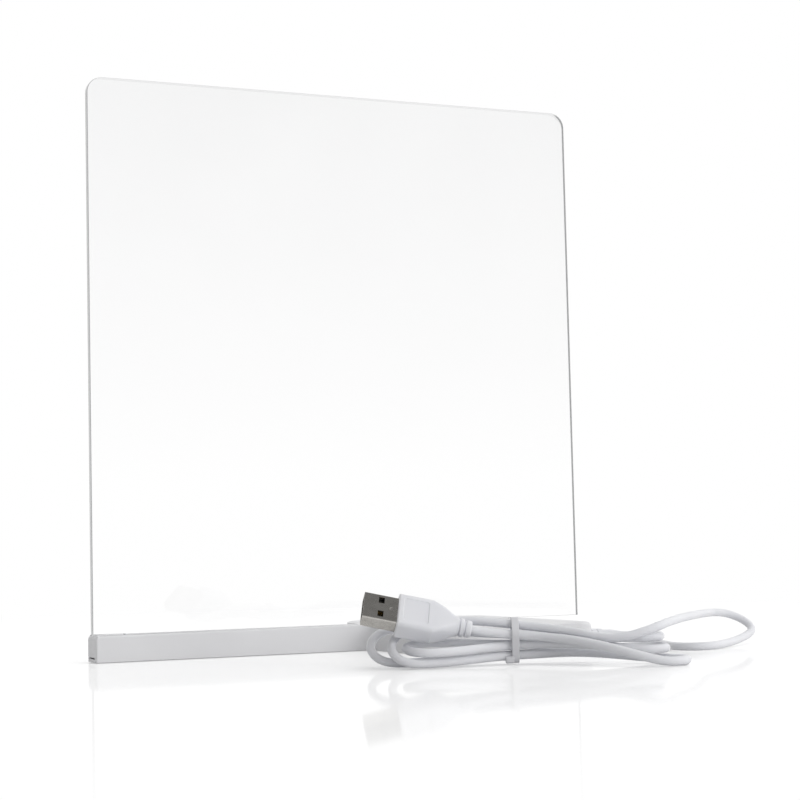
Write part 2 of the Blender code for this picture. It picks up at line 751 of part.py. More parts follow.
def fold_points(fold):
    """Control points round one fold."""
    first, last = arms(fold)
    middle = ((first[0] + last[0]) / 2, (first[1] + last[1]) / 2)
    points = []
    for i in range(1, FOLD_STEPS + 1):
        turn = math.pi * i / (FOLD_STEPS + 1)
        along = turn_centre(fold) + math.copysign(FOLD_RADIUS, fold.reach) * math.sin(turn)
        toward = middle[0] + (first[0] - middle[0]) * math.cos(turn)
        height = middle[1] + (first[1] - middle[1]) * math.cos(turn)
        points.append((along, toward, height))
    return points


def plug_direction():
    """The way from the plug's boot to its tip, as (along, toward, height)."""
    level = math.cos(PLUG_RISE)
    return Vector((-level * math.cos(PLUG_SWING), level * math.sin(PLUG_SWING), math.sin(PLUG_RISE)))


def plug_end():
    """Where the cord meets the plug's boot, as (along, toward, height)."""
    place = waist(RUNS[0])
    return Vector((PLUG_LEAD, place[0] + LEAD_FORWARD, place[1] + LEAD_RISE))


def lead_in():
    """The hank's first points: straight out of the boot, then toward the tie."""
    start = plug_end() - plug_direction() * FIT
    straight = start - plug_direction() * CORD_DIAMETER
    place = waist(RUNS[0])
    near = straight.lerp(Vector((0.0, place[0], place[1])), NEAR_SHARE)
    return [tuple(start), tuple(straight), tuple(near), (0.0, place[0], place[1])]


def blended(controls):
    """Points on the smooth curve that a polygon of control points shapes, ends included."""
    points = [Vector(controls[0]), Vector(controls[1])]
    for before, at, after in zip(controls[1:], controls[2:-1], controls[3:]):
        points.append((Vector(before) + Vector(at) * 4 + Vector(after)) / 6)
    points.append(Vector(controls[-1]))
    return points


def through(route):
    """Points on the smooth curve that passes through the route's own points."""
    route = [Vector(at) for at in route]
    ends = [route[0] * 2 - route[1]] + route + [route[-1] * 2 - route[-2]]
    points = []
    for a, b, c, d in zip(ends, ends[1:], ends[2:], ends[3:]):
        for i in range(CURVE_STEPS):
            t = i / CURVE_STEPS
            bend = (a * 2 - b * 5 + c * 4 - d) * t * t + (b * 3 - a - c * 3 + d) * t**3
            points.append((b * 2 + (c - a) * t + bend) / 2)
    points.append(route[-1])
    return points


def even(points, step):
    """Points an even step apart along a line of points, both ends included."""
    lengths = [0.0]
    for a, b in zip(points, points[1:]):
        lengths.append(lengths[-1] + (b - a).length)
    count = max(1, round(lengths[-1] / step))
    spaced = []
    i = 0
    for k in range(count + 1):
        target = lengths[-1] * k / count
        while i < len(lengths) - 2 and lengths[i + 1] < target:
            i += 1
        share = (target - lengths[i]) / (lengths[i + 1] - lengths[i])
        spaced.append(points[i].lerp(points[i + 1], share))
    return spaced


def hank_frame():
    """The hank's own frame on the table: X along it, Y away from the viewer."""
    return Matrix.Translation((*TIE_CENTRE, 0.0)) @ Matrix.Rotation(HANK_TURN, 4, "Z")


def in_frame(point):
    """A hank point (along, toward, height) in the hank's frame."""
    return Vector((point[0], -point[1], point[2]))


def least_gap(points):
    """The least gap of the tube to itself, measured on points along it."""
    fine = even(points, CORD_DIAMETER / 3)
    skip = round(GAP_SKIP / (CORD_DIAMETER / 3))
    least = min(
        (fine[i] - fine[j]).length for i in range(len(fine)) for j in range(i + skip, len(fine))
    )
    return least - CORD_DIAMETER


def make_cord():
    """The hank and the free stretch, which meet end to end."""
    frame = hank_frame()
    hank = [frame @ in_frame(point) for point in blended(hank_controls())]
    tube("cord_hank", hank, CORD_DIAMETER / 2, CORD_WHITE, 1)
    print(f"cord_hank: least gap to itself {least_gap(hank) * 1000:.2f} mm, over 0.4 mm")
    ahead = (hank[-1] - hank[-2]).normalized()
    start = hank[-1] + ahead * FIT
    end = Vector((FOOT_RIGHT + RELIEF_REACH + FIT, EXIT_Y, EXIT_Z))
    straight = Vector((CORD_DIAMETER, 0.0, 0.0))
    route = [start, start + ahead * CORD_DIAMETER, *CORD_ROUTE, end + straight, end]
    middle = even(through(route)[CURVE_STEPS:-CURVE_STEPS], CORD_STEP)
    stretch = [start, *middle, end]
    tube("cord", stretch, CORD_DIAMETER / 2, CORD_WHITE)
    total = sum((b - a).length for line in (hank, stretch) for a, b in zip(line, line[1:]))
    print(f"cord and cord_hank: {total * 1000:.0f} mm in all")


def at_waist(points):
    """Where a line of hank points passes the tie, as (toward, height)."""
    places = []
    for a, b in zip(points, points[1:]):
        if a.x * b.x < 0:
            there = a.lerp(b, a.x / (a.x - b.x))
            places.append((there.y, there.z))
    return places


def outermost(places):
    """The corners of the shape that a band makes round these places, in order round it."""
    corners = []
    for line in (sorted(places), sorted(places, reverse=True)):
        side = []
        for place in line:
            while len(side) > 1 and not turns_left(side[-2], side[-1], place):
                side.pop()
            side.append(place)
        corners += side[:-1]
    return corners


def turns_left(a, b, c):
    """Whether the way from a by b to c turns left."""
    return (b[0] - a[0]) * (c[1] - b[1]) > (b[1] - a[1]) * (c[0] - b[0])


def belt(places, radius):
    """The outline of a band drawn tight round circles at these places."""
    outline = []
    count = len(places)
    for i, place in enumerate(places):
        before = places[i - 1]
        after = places[(i + 1) % count]
        first = math.degrees(math.atan2(before[0] - place[0], place[1] - before[1]))
        last = math.degrees(math.atan2(place[0] - after[0], after[1] - place[1]))
        if last < first:
            last += 360
        outline += arc(place[0], place[1], radius, first, last, 4)
    return outline


def make_tie():
    """The tie round the hank's waist, with its knot at the lower front."""
    frame = empty("hank_frame", hank_frame())
    places = outermost(at_waist(blended(hank_controls())))
    inner = CORD_DIAMETER / 2 + TIE_CLEARANCE
    half = TIE_WIDTH / 2
    upright = Matrix(((0, 0, -1, 0), (-1, 0, 0, 0), (0, 1, 0, 0), (0, 0, 0, 1)))
    strap = flat("tie", belt(places, inner + TIE_STRAP), -half, half)
    strap.transform(upright)
    tie = put(strap, "tie", TIE_WHITE, frame)
    knot_long, knot_deep, knot_tall = TIE_KNOT
    lowest = max(places, key=lambda place: place[0] - place[1])
    knot_y = -lowest[0] - inner
    knot_z = lowest[1] - inner - TIE_STRAP / 2
    low = (half - knot_long, knot_y - knot_deep, knot_z)
    high = (half * KNOT_SHARE, knot_y, knot_z + knot_tall)
    join(tie, box("knot", low, high))
    hole = flat("hole", belt(places, inner), -half - OVERRUN, half + OVERRUN)
    hole.transform(upright)
    cut(tie, hole)
    return frame


def ring(along, half_width, half_thickness, corner, points=8):
    """A rounded rectangle across the plug's axis, as a ring of corners."""
    corners = []
    for quarter, (side, face) in enumerate(((1, 1), (-1, 1), (-1, -1), (1, -1))):
        for y, z in arc(
            side * (half_width - corner),
            face * (half_thickness - corner),
            corner,
            90 * quarter,
            90 * quarter + 90,
            points // 2,
        ):
            corners.append((along, y, z))
    return corners


def round_ring(along, sunk=0.0):
    """A round ring of the boot, which widens to its root, sunk by so much."""
    radius = BOOT_RADIUS + (BOOT_ROOT_RADIUS - BOOT_RADIUS) * along / BOOT_LENGTH - sunk
    return ring(along, radius, radius, radius - WELD)


def loft(name, rings):
    """A closed solid through rings of as many corners each."""
    work = bmesh.new()
    rows = [[work.verts.new(corner) for corner in corners] for corners in rings]
    for low, high in zip(rows, rows[1:]):
        for i in range(len(low)):
            j = (i + 1) % len(low)
            work.faces.new((low[i], low[j], high[j], high[i]))
    work.faces.new(rows[0])
    work.faces.new(rows[-1])
    return mesh_of(work, name)


def plug_frame(parent):
    """The plug's own frame: X from the boot to the tip, Z out of the face that shows."""
    ahead = in_frame(plug_direction())
    face = Vector((0.0, -math.cos(PLUG_ROLL), math.sin(PLUG_ROLL)))
    face = (face - ahead * face.dot(ahead)).normalized()
    across = face.cross(ahead)
    turn = Matrix((ahead, across, face)).transposed().to_4x4()
    return empty("plug_frame", Matrix.Translation(in_frame(plug_end())) @ turn, parent)


def make_mould(frame):
    """The plug's overmould: a ringed boot, a taper and a flat body with a sunken panel."""
    rings = [round_ring(0.0)]
    for share in BOOT_GROOVE_SHARES:
        for side in (-1, 1):
            along = BOOT_LENGTH * share + side * BOOT_GROOVE / 2
            ends = [round_ring(along), round_ring(along - side * WELD * 2, BOOT_GROOVE_DEPTH)]
            rings += ends[::-side]
    rings.append(round_ring(BOOT_LENGTH))
    wide, thick = MOULD_WIDTH / 2, MOULD_THICKNESS / 2
    taper_end = MOULD_LENGTH - TAPER_START
    middle = (BOOT_LENGTH + taper_end) / 2
    root = BOOT_ROOT_RADIUS
    rings.append(ring(middle, (wide + root) / 2, (thick + root) / 2, (MOULD_ROUND + root) / 2))
    rings.append(ring(taper_end, wide, thick, MOULD_ROUND))
    edge = MOULD_ROUND / 3
    rings.append(ring(MOULD_LENGTH - edge, wide, thick, MOULD_ROUND))
    rings.append(ring(MOULD_LENGTH, wide - edge, thick - edge, MOULD_ROUND - edge))
    mould = put(loft("plug_overmould", rings), "plug_overmould", CORD_WHITE, frame)
    middle = MOULD_LENGTH - (TAPER_START + edge) / 2
    half_long, half_wide = PANEL_LENGTH / 2, PANEL_WIDTH / 2
    for name, side in (("panel_front", 1), ("panel_back", -1)):
        levels = sorted((side * (thick - PANEL_DEPTH), side * (thick + OVERRUN)))
        low = (middle - half_long, -half_wide, levels[0])
        cut(mould, box(name, low, (middle + half_long, half_wide, levels[1])))
    pocket_y = SHELL_WIDTH / 2 + CLOSE_FIT
    pocket_z = SHELL_THICKNESS / 2 + CLOSE_FIT
    depth = SHELL_LENGTH - SHELL_SHOWN + FIT
    pocket_low = (MOULD_LENGTH - depth, -pocket_y, -pocket_z)
    cut(mould, box("pocket", pocket_low, (MOULD_LENGTH + OVERRUN, pocket_y, pocket_z)))
    smooth(mould)
    return mould


def make_shell(frame):
    """The plug's metal shell: an open tube with two windows in each broad face."""
    tip = MOULD_LENGTH + SHELL_SHOWN
    root = tip - SHELL_LENGTH
    y, z = SHELL_WIDTH / 2, SHELL_THICKNESS / 2
    shell = put(box("plug_shell", (root, -y, -z), (tip, y, z)), "plug_shell", STEEL, frame)
    bevel = shell.modifiers.new("Round", "BEVEL")
    bevel.width = SHELL_WALL
    bevel.segments = 2
    bore_y, bore_z = y - SHELL_WALL, z - SHELL_WALL
    bore_low = (root - OVERRUN, -bore_y, -bore_z)
    cut(shell, box("bore", bore_low, (tip + OVERRUN, bore_y, bore_z)))
    for i, side in enumerate((-1, 1)):
        middle = side * WINDOW_SPREAD / 2
        x = tip - WINDOW_FROM_TIP
        long, wide = SHELL_WINDOW[0] / 2, SHELL_WINDOW[1] / 2
        low = (x - long, middle - wide, -z - OVERRUN)
        cut(shell, box(f"window_{i + 1}", low, (x + long, middle + wide, z + OVERRUN)))
    return shell


def make_tongue(frame):
    """The plug's insulating tongue and the four contacts on it."""
    root = MOULD_LENGTH + SHELL_SHOWN - SHELL_LENGTH
    low = -SHELL_THICKNESS / 2 + SHELL_WALL + SOLDER_GAP
    top = low + TONGUE_THICKNESS
    half = TONGUE_WIDTH / 2
    corner = (root + TONGUE_LENGTH, half, top)
    put(box("plug_tongue", (root, -half, low), corner), "plug_tongue", BLACK, frame)
    level = top + SOLDER_GAP
    end = root + TONGUE_LENGTH - CONTACT_WIDTH
    for i, y in enumerate(CONTACT_PITCHES):
        near = (end - CONTACT_LENGTH, y - CONTACT_WIDTH / 2, level)
        far = (end, y + CONTACT_WIDTH / 2, level + CONTACT_THICKNESS)
        put(box("contact", near, far), f"plug_contact_{i + 1}", GOLD, frame)


for old in list(bpy.data.objects):
    bpy.data.objects.remove(old)
PARTS = collection("led_writing_board")
CUTTERS = collection("cutters", hidden=True)

make_plate()
make_base()
make_cover()
make_pads()
make_screws()
make_board()
make_leads()
make_relief()
make_cord()
hank = make_tie()
plug = plug_frame(hank)
make_mould(plug)
make_shell(plug)
make_tongue(plug)
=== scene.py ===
"""Finishes of the LED writing board: clear plate, white base, cord in a tied hank, and its plug.

Everything is in metres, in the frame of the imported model: +X along the plate, +Y to the back, +Z up.
"""

import json
import logging
import math
from dataclasses import dataclass, field
from enum import Enum

import bmesh
import bpy
import numpy as np
from mathutils import Matrix, Vector
from mathutils.geometry import tessellate_polygon

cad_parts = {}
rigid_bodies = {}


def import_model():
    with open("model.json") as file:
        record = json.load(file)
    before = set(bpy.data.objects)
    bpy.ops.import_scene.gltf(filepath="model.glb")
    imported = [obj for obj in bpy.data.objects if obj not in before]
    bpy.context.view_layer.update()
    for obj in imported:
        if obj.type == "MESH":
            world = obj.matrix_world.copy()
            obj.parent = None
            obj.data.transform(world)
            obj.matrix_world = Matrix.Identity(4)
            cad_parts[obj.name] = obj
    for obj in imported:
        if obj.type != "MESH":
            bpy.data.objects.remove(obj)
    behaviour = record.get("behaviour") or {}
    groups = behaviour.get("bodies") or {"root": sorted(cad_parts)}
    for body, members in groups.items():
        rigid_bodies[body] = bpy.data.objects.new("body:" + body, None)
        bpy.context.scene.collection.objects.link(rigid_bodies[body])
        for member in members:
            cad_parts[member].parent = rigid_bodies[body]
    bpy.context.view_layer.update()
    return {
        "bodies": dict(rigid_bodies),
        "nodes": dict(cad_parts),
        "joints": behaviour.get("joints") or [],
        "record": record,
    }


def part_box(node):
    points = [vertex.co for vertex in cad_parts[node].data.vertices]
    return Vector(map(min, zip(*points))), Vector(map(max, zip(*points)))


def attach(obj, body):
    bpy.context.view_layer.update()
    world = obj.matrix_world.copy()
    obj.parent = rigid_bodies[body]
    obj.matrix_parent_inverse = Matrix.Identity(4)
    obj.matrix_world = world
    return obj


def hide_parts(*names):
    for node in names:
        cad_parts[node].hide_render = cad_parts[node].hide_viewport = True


LOG = logging.getLogger("writing_board")
Array = np.ndarray
Pair = tuple[float, float]
Triple = tuple[float, float, float]
Colour = Triple
Socket = bpy.types.NodeSocket
WHITE = (1.0, 1.0, 1.0, 1.0)
NOISE_SPAN = (0.3, 0.7)  # where most of a noise node's values lie
SHARP_ANGLE = 32.0  # in degrees
MERGE_DISTANCE = 1e-7
PAST = 0.001  # how far a cutter reaches past the face that it cuts
SCREWS = range(1, 6)
PADS = range(1, 5)
LIGHTS = range(1, 11)
CONTACTS = range(1, 5)


class Body(Enum):
    """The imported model's two bodies."""

    BASE = "base"
    PLATE = "plate"


def smoothstep(share: Array | float) -> Array | float:
    """Eases a share between 0 and 1: three squares less two cubes, flat at both ends."""
    held = np.clip(share, 0.0, 1.0)
    return held * held * (3.0 - 2.0 * held)


def unit(vector: Array) -> Array:
    """Vectors of length 1 in the same directions, along the last axis."""
    return vector / np.linalg.norm(vector, axis=-1, keepdims=True)


def arc(centre: Pair, radius: float, start: float, end: float, steps: int) -> Array:
    """Points of an arc: the centre plus the radius times the cosine and sine of an evenly stepped angle.

    Args:
        centre: Its centre.
        radius: Its radius.
        start: Its first angle, in degrees.
        end: Its last angle, in degrees.
        steps: How many steps it has.

    Returns:
        Its points, one a row.
    """
    angle = np.radians(np.linspace(start, end, steps + 1))
    return np.stack([centre[0] + radius * np.cos(angle), centre[1] + radius * np.sin(angle)], axis=1)


def cap(half: float, depth: float, middle: float = 0.0, steps: int = 8) -> Array:
    """A shallow round cap's profile, as (along, radius), on a circle of (half^2 + depth^2) / (2 depth).

    Args:
        half: The radius of its rim.
        depth: How far along its rim lies from its middle.
        middle: Where its middle is.
        steps: The steps from the axis to the rim.

    Returns:
        Its points, one a row, without the one on the axis.
    """
    radius = (half**2 + depth**2) / (2.0 * depth)
    rim = 180.0 - math.degrees(math.asin(half / radius))
    return arc((middle + radius, 0.0), radius, 180.0, rim, steps)[1:]


def quarter(steps: int) -> list[Pair]:
    """Steps round a quarter turn, as (1 - cosine, 1 - sine): what a round edge takes off on each side."""
    turn = np.radians(np.linspace(0.0, 90.0, steps + 1))
    return list(zip(1.0 - np.cos(turn), 1.0 - np.sin(turn)))


def ring_groove(along: Array, middle: float, width: float, slope: float) -> Array:
    """A ring groove's depth as a share: 1 on its floor and 0 beside it.

    Args:
        along: The places along the axis.
        middle: Where the groove's middle is.
        width: Its width.
        slope: How far its slopes reach out, in half widths.

    Returns:
        The share at each place.
    """
    return np.clip(slope - np.abs(along - middle) / (width / 2), 0.0, 1.0)


def end_round(past: Array, radius: float) -> Array:
    """How much less a turned piece's radius is in its round end, so far past that end's start."""
    share = np.clip(past / radius, 0.0, 1.0)
    return radius * (1.0 - np.sqrt(1.0 - share**2))


def round_rectangle(half_width: float, half_height: float, radius: float, steps: int = 6) -> Array:
    """A rectangle with round corners, anticlockwise: four quarter arcs about the corners' centres."""
    quarters = []
    for number, (side, level) in enumerate(((1, 1), (-1, 1), (-1, -1), (1, -1))):
        centre = (side * (half_width - radius), level * (half_height - radius))
        quarters.append(arc(centre, radius, 90.0 * number, 90.0 * number + 90.0, steps))
    return np.concatenate(quarters)


def on_plane(outline: Array, level: float) -> Array:
    """A flat outline (x, y) at one height."""
    return np.column_stack([outline, np.full(len(outline), level)])


def about_x(profile: Array, sides: int) -> Array:
    """A profile of (along, radius) turned about the X axis: along, and radius times cosine and sine."""
    angle = np.linspace(0.0, 2.0 * math.pi, sides, endpoint=False)
    along, radius = profile[:, :1], profile[:, 1:]
    same = np.repeat(along, sides, axis=1)
    return np.stack([same, radius * np.cos(angle), radius * np.sin(angle)], axis=-1)


def placed(points: Array, place: Matrix) -> Array:
    """Points moved by a matrix: its turn times each point, plus its shift."""
    turn = np.array(place)
    return points @ turn[:3, :3].T + turn[:3, 3]


def in_scene(name: str, data: bpy.types.ID) -> bpy.types.Object:
    """A new object of the scene, with that data."""
    made = bpy.data.objects.new(name, data)
    bpy.context.scene.collection.objects.link(made)
    return made


@dataclass
class Shape:
    """A mesh in the making: bands through rings of points, and flat faces."""

    points: list[Array] = field(default_factory=list)
    faces: list[tuple[int, ...]] = field(default_factory=list)
    count: int = 0

    def band(self, rows: Array) -> tuple[list[int], list[int]]:
        """Adds a surface through closed rows of points, as quads between neighbours on the grid.

        Args:
            rows: The points, as an array (row, point, 3).

        Returns:
            The point numbers of its first and of its last row.
        """
        first = self.count
        self.points.append(rows.reshape(-1, 3))
        count, columns = rows.shape[:2]
        self.count += count * columns
        row, column = np.meshgrid(np.arange(count - 1), np.arange(columns), indexing="ij")
        after = (column + 1) % columns
        low, high = row * columns, (row + 1) * columns
        quads = np.stack([low + column, low + after, high + after, high + column], axis=-1)
        self.faces += [tuple(face) for face in (quads.reshape(-1, 4) + first).tolist()]
        return list(range(first, first + columns)), list(range(self.count - columns, self.count))

    def fill(self, outline: list[int], *holes: list[int]) -> None:
        """Fills an outline of point numbers with triangles, round its holes."""
        points = np.concatenate(self.points)
        loops = [[Vector(points[number]) for number in loop] for loop in (outline, *holes)]
        numbers = [number for loop in (outline, *holes) for number in loop]
        self.faces += [tuple(numbers[corner] for corner in face) for face in tessellate_polygon(loops)]

    def walls(self, *rings: tuple[Array, float]) -> tuple[list[int], list[int]]:
        """Adds a band through flat outlines, each at its own height."""
        return self.band(np.stack([on_plane(outline, level) for outline, level in rings]))

    @classmethod
    def solid(cls, rows: Array) -> "Shape":
        """A shape of one band, with both its ends closed by flat faces."""
        shape = cls()
        shape.faces += [tuple(end) for end in shape.band(rows)]
        return shape

    def made(self, name: str, place: Matrix | None = None, sharp: float = SHARP_ANGLE) -> bpy.types.Object:
        """The finished object at the origin, its faces outward and smooth but for its sharp edges.

        Args:
            name: The piece's name.
            place: Where its points go, or None where they are in place.
            sharp: Angle over which an edge stays sharp, in degrees.

        Returns:
            The object.
        """
        points = np.concatenate(self.points)
        if place is not None:
            points = placed(points, place)
        mesh = bpy.data.meshes.new(name)
        mesh.from_pydata(points.tolist(), [], self.faces)
        tidy(mesh)
        shade(mesh, sharp)
        return in_scene(name, mesh)


def tidy(mesh: bpy.types.Mesh) -> None:
    """Merges doubled points and turns the faces outward."""
    work = bmesh.new()
    work.from_mesh(mesh)
    bmesh.ops.remove_doubles(work, verts=work.verts, dist=MERGE_DISTANCE)
    bmesh.ops.recalc_face_normals(work, faces=work.faces)
    work.to_mesh(mesh)
    work.free()


def shade(mesh: bpy.types.Mesh, sharp: float) -> None:
    """Shades a mesh smooth but for edges over this angle, in degrees."""
    mesh.polygons.foreach_set("use_smooth", np.ones(len(mesh.polygons), dtype=bool))
    mesh.set_sharp_from_angle(angle=math.radians(sharp))


def cut(target: bpy.types.Object, cutters: list[Shape], sharp: float = SHARP_ANGLE) -> bpy.types.Object:
    """Cuts closed shapes, given in the target's frame, from a piece.

    Args:
        target: The piece.
        cutters: The shapes.
        sharp: Angle over which an edge stays sharp, in degrees.

    Returns:
        The piece.
    """
    for number, shape in enumerate(cutters):
        tool = shape.made(f"cutter_{number}")
        step = target.modifiers.new("Cut", "BOOLEAN")
        step.operation = "DIFFERENCE"
        step.solver = "EXACT"
        step.object = tool
        bpy.context.view_layer.update()
        graph = bpy.context.evaluated_depsgraph_get()
        mesh = bpy.data.meshes.new_from_object(target.evaluated_get(graph))
        target.modifiers.clear()
        old, target.data = target.data, mesh
        mesh.name = target.name
        bpy.data.meshes.remove(old)
        bpy.data.objects.remove(tool)
    shade(target.data, sharp)
    return target


def block(low: Triple, high: Triple) -> Shape:
    """A box between two corners."""
    corners = np.array([(low[0], low[1]), (high[0], low[1]), (high[0], high[1]), (low[0], high[1])])
    return Shape.solid(np.stack([on_plane(corners, level) for level in (low[2], high[2])]))


class Wiring:
    """The node tree of a material or of the world, with short calls for the nodes that the looks share."""

    def __init__(self, owner: bpy.types.Material | bpy.types.World) -> None:
        """Empties the owner's tree but for its output and its coordinates."""
        owner.use_nodes = True
        self.owner = owner
        self.tree = owner.node_tree
        self.tree.nodes.clear()
        kind = "World" if isinstance(owner, bpy.types.World) else "Material"
        self.output = self.node(f"Output{kind}")
        self.where = self.node("TexCoord").outputs

    @classmethod
    def of_material(cls, name: str) -> "Wiring":
        """The tree of a new material of that name."""
        return cls(bpy.data.materials.new(name))

    def node(self, kind: str, inputs: dict | None = None, **settings: object) -> bpy.types.Node:
        """A new node.

        Args:
            kind: Its type's name, without ShaderNode before it.
            inputs: A value for each input that is named, or another node's output to link to it.
            settings: Its settings, which are set before its inputs.

        Returns:
            The node.
        """
        made = self.tree.nodes.new(f"ShaderNode{kind}")
        for key, value in settings.items():
            setattr(made, key, value)
        for key, value in (inputs or {}).items():
            if isinstance(value, Socket):
                self.tree.links.new(value, made.inputs[key])
            else:
                made.inputs[key].default_value = value
        return made

    def maths(self, operation: str, *terms: Socket | float) -> Socket:
        """The result of a calculation on its terms, each a number or another node's output."""
        return self.node("Math", dict(enumerate(terms)), operation=operation).outputs["Value"]

    def ranged(self, value: Socket, span: Pair, ends: Pair, **settings: object) -> Socket:
        """A value's place in a span, carried to between two ends and held there.

        Args:
            value: The value.
            span: Where the span begins and ends.
            ends: The results at its two ends.
            settings: The node's settings.

        Returns:
            The result.
        """
        names = ("From Min", "From Max", "To Min", "To Max")
        inputs = {"Value": value, **dict(zip(names, (*span, *ends)))}
        return self.node("MapRange", inputs, **settings).outputs["Result"]

    def noise(self, scale: float, detail: float = 2.0, stretch: Triple = (1.0, 1.0, 1.0)) -> Socket:
        """Noise on the object's own coordinates, between 0 and 1.

        Args:
            scale: Its scale, in waves a metre.
            detail: How many finer layers it has.
            stretch: Its scale along each axis.

        Returns:
            The noise's value.
        """
        mapping = self.node("Mapping", {"Vector": self.where["Object"], "Scale": stretch})
        inputs = {"Vector": mapping.outputs["Vector"], "Scale": scale, "Detail": detail}
        return self.node("TexNoise", inputs).outputs["Fac"]

    def spread(self, value: Socket, low: float, high: float) -> Socket:
        """A value from noise, spread from its usual middle range to low and high."""
        return self.ranged(value, NOISE_SPAN, (low, high))

    def blend(self, share: Socket, first: Colour, second: Colour) -> Socket:
        """A colour between two, by a share."""
        mix = self.node("Mix", {"Factor": share}, data_type="RGBA")
        colours = [socket for socket in mix.inputs if socket.type == "RGBA"]
        for socket, colour in zip(colours, (first, second)):
            socket.default_value = (*colour, 1.0)
        return next(socket for socket in mix.outputs if socket.type == "RGBA")

    def bump(self, height: Socket, depth: float) -> Socket:
        """The normal of a relief of that depth, in metres, from a height."""
        return self.node("Bump", {"Height": height, "Strength": 1.0, "Distance": depth}).outputs["Normal"]

    def mixed(self, share: Socket | float, first: bpy.types.Node, second: bpy.types.Node) -> bpy.types.Node:
        """Two shaders mixed, by the second one's share."""
        return self.node("MixShader", {"Fac": share, 1: first.outputs[0], 2: second.outputs[0]})

    def done(self, shader: bpy.types.Node) -> bpy.types.Material | bpy.types.World:
        """Ends the tree in a shader and returns its owner."""
        self.tree.links.new(shader.outputs[0], self.output.inputs["Surface"])
        return self.owner


@dataclass(frozen=True)
class Moulded:
    """Moulded plastic or rubber: two near colours in soft clouds, a fine grain and uneven gloss.

    Attributes:
        grain: The grain's scale, in waves a metre. Its depth is in metres.
        glow_through: The share of light that enters it. It gets about as far as seep says.
    """

    name: str
    colour: Colour
    clouded: Colour
    roughness: Pair
    grain: float = 5200.0
    depth: float = 0.000006
    coat: float = 0.0
    glow_through: float = 0.0
    seep: float = 0.003
    index: float = 1.46
    coat_roughness: float = 0.12
    cloud_scale: float = 38.0
    patch_scale: float = 240.0

    def material(self) -> bpy.types.Material:
        """The material with its nodes."""
        wiring = Wiring.of_material(self.name)
        clouds = wiring.spread(wiring.noise(self.cloud_scale, 3.0), 0.0, 1.0)
        look = {
            "Base Color": wiring.blend(clouds, self.colour, self.clouded),
            "Roughness": wiring.spread(wiring.noise(self.patch_scale), *self.roughness),
            "Normal": wiring.bump(wiring.noise(self.grain), self.depth),
            "IOR": self.index,
            "Coat Weight": self.coat,
            "Coat Roughness": self.coat_roughness,
            "Subsurface Weight": self.glow_through,
            "Subsurface Scale": self.seep,
            "Subsurface Radius": (1.0, 1.0, 1.0),
        }
        return wiring.done(wiring.node("BsdfPrincipled", look))


@dataclass(frozen=True)
class Metal:
    """Plated or turned metal: a mottled tone, drawn scratches and uneven gloss."""

    name: str
    colour: Colour
    mottled: Colour
    roughness: Pair
    stretch: Triple = (1.0, 1.0, 1.0)
    mottle_scale: float = 520.0
    scratch_scale: float = 2600.0
    scratch_depth: float = 0.0000015

    def material(self) -> bpy.types.Material:
        """The material with its nodes."""
        wiring = Wiring.of_material(self.name)
        mottle = wiring.spread(wiring.noise(self.mottle_scale, 3.0), 0.0, 1.0)
        scratches = wiring.noise(self.scratch_scale, 3.0, self.stretch)
        look = {
            "Base Color": wiring.blend(mottle, self.colour, self.mottled),
            "Roughness": wiring.spread(scratches, *self.roughness),
            "Normal": wiring.bump(scratches, self.scratch_depth),
            "Metallic": 1.0,
        }
        return wiring.done(wiring.node("BsdfPrincipled", look))


@dataclass(frozen=True)
class Phosphor:
    """A light's yellow phosphor, in grains of two tones."""

    name: str
    colour: Colour
    grain: float = 6000.0
    paler: float = 1.12
    roughness: float = 0.3
    coat: float = 0.5

    def material(self) -> bpy.types.Material:
        """The material with its nodes."""
        wiring = Wiring.of_material(self.name)
        pale = tuple(min(1.0, self.paler * level) for level in self.colour)
        grains = wiring.blend(wiring.noise(self.grain), self.colour, pale)
        look = {"Base Color": grains, "Roughness": self.roughness, "Coat Weight": self.coat}
        return wiring.done(wiring.node("BsdfPrincipled", look))


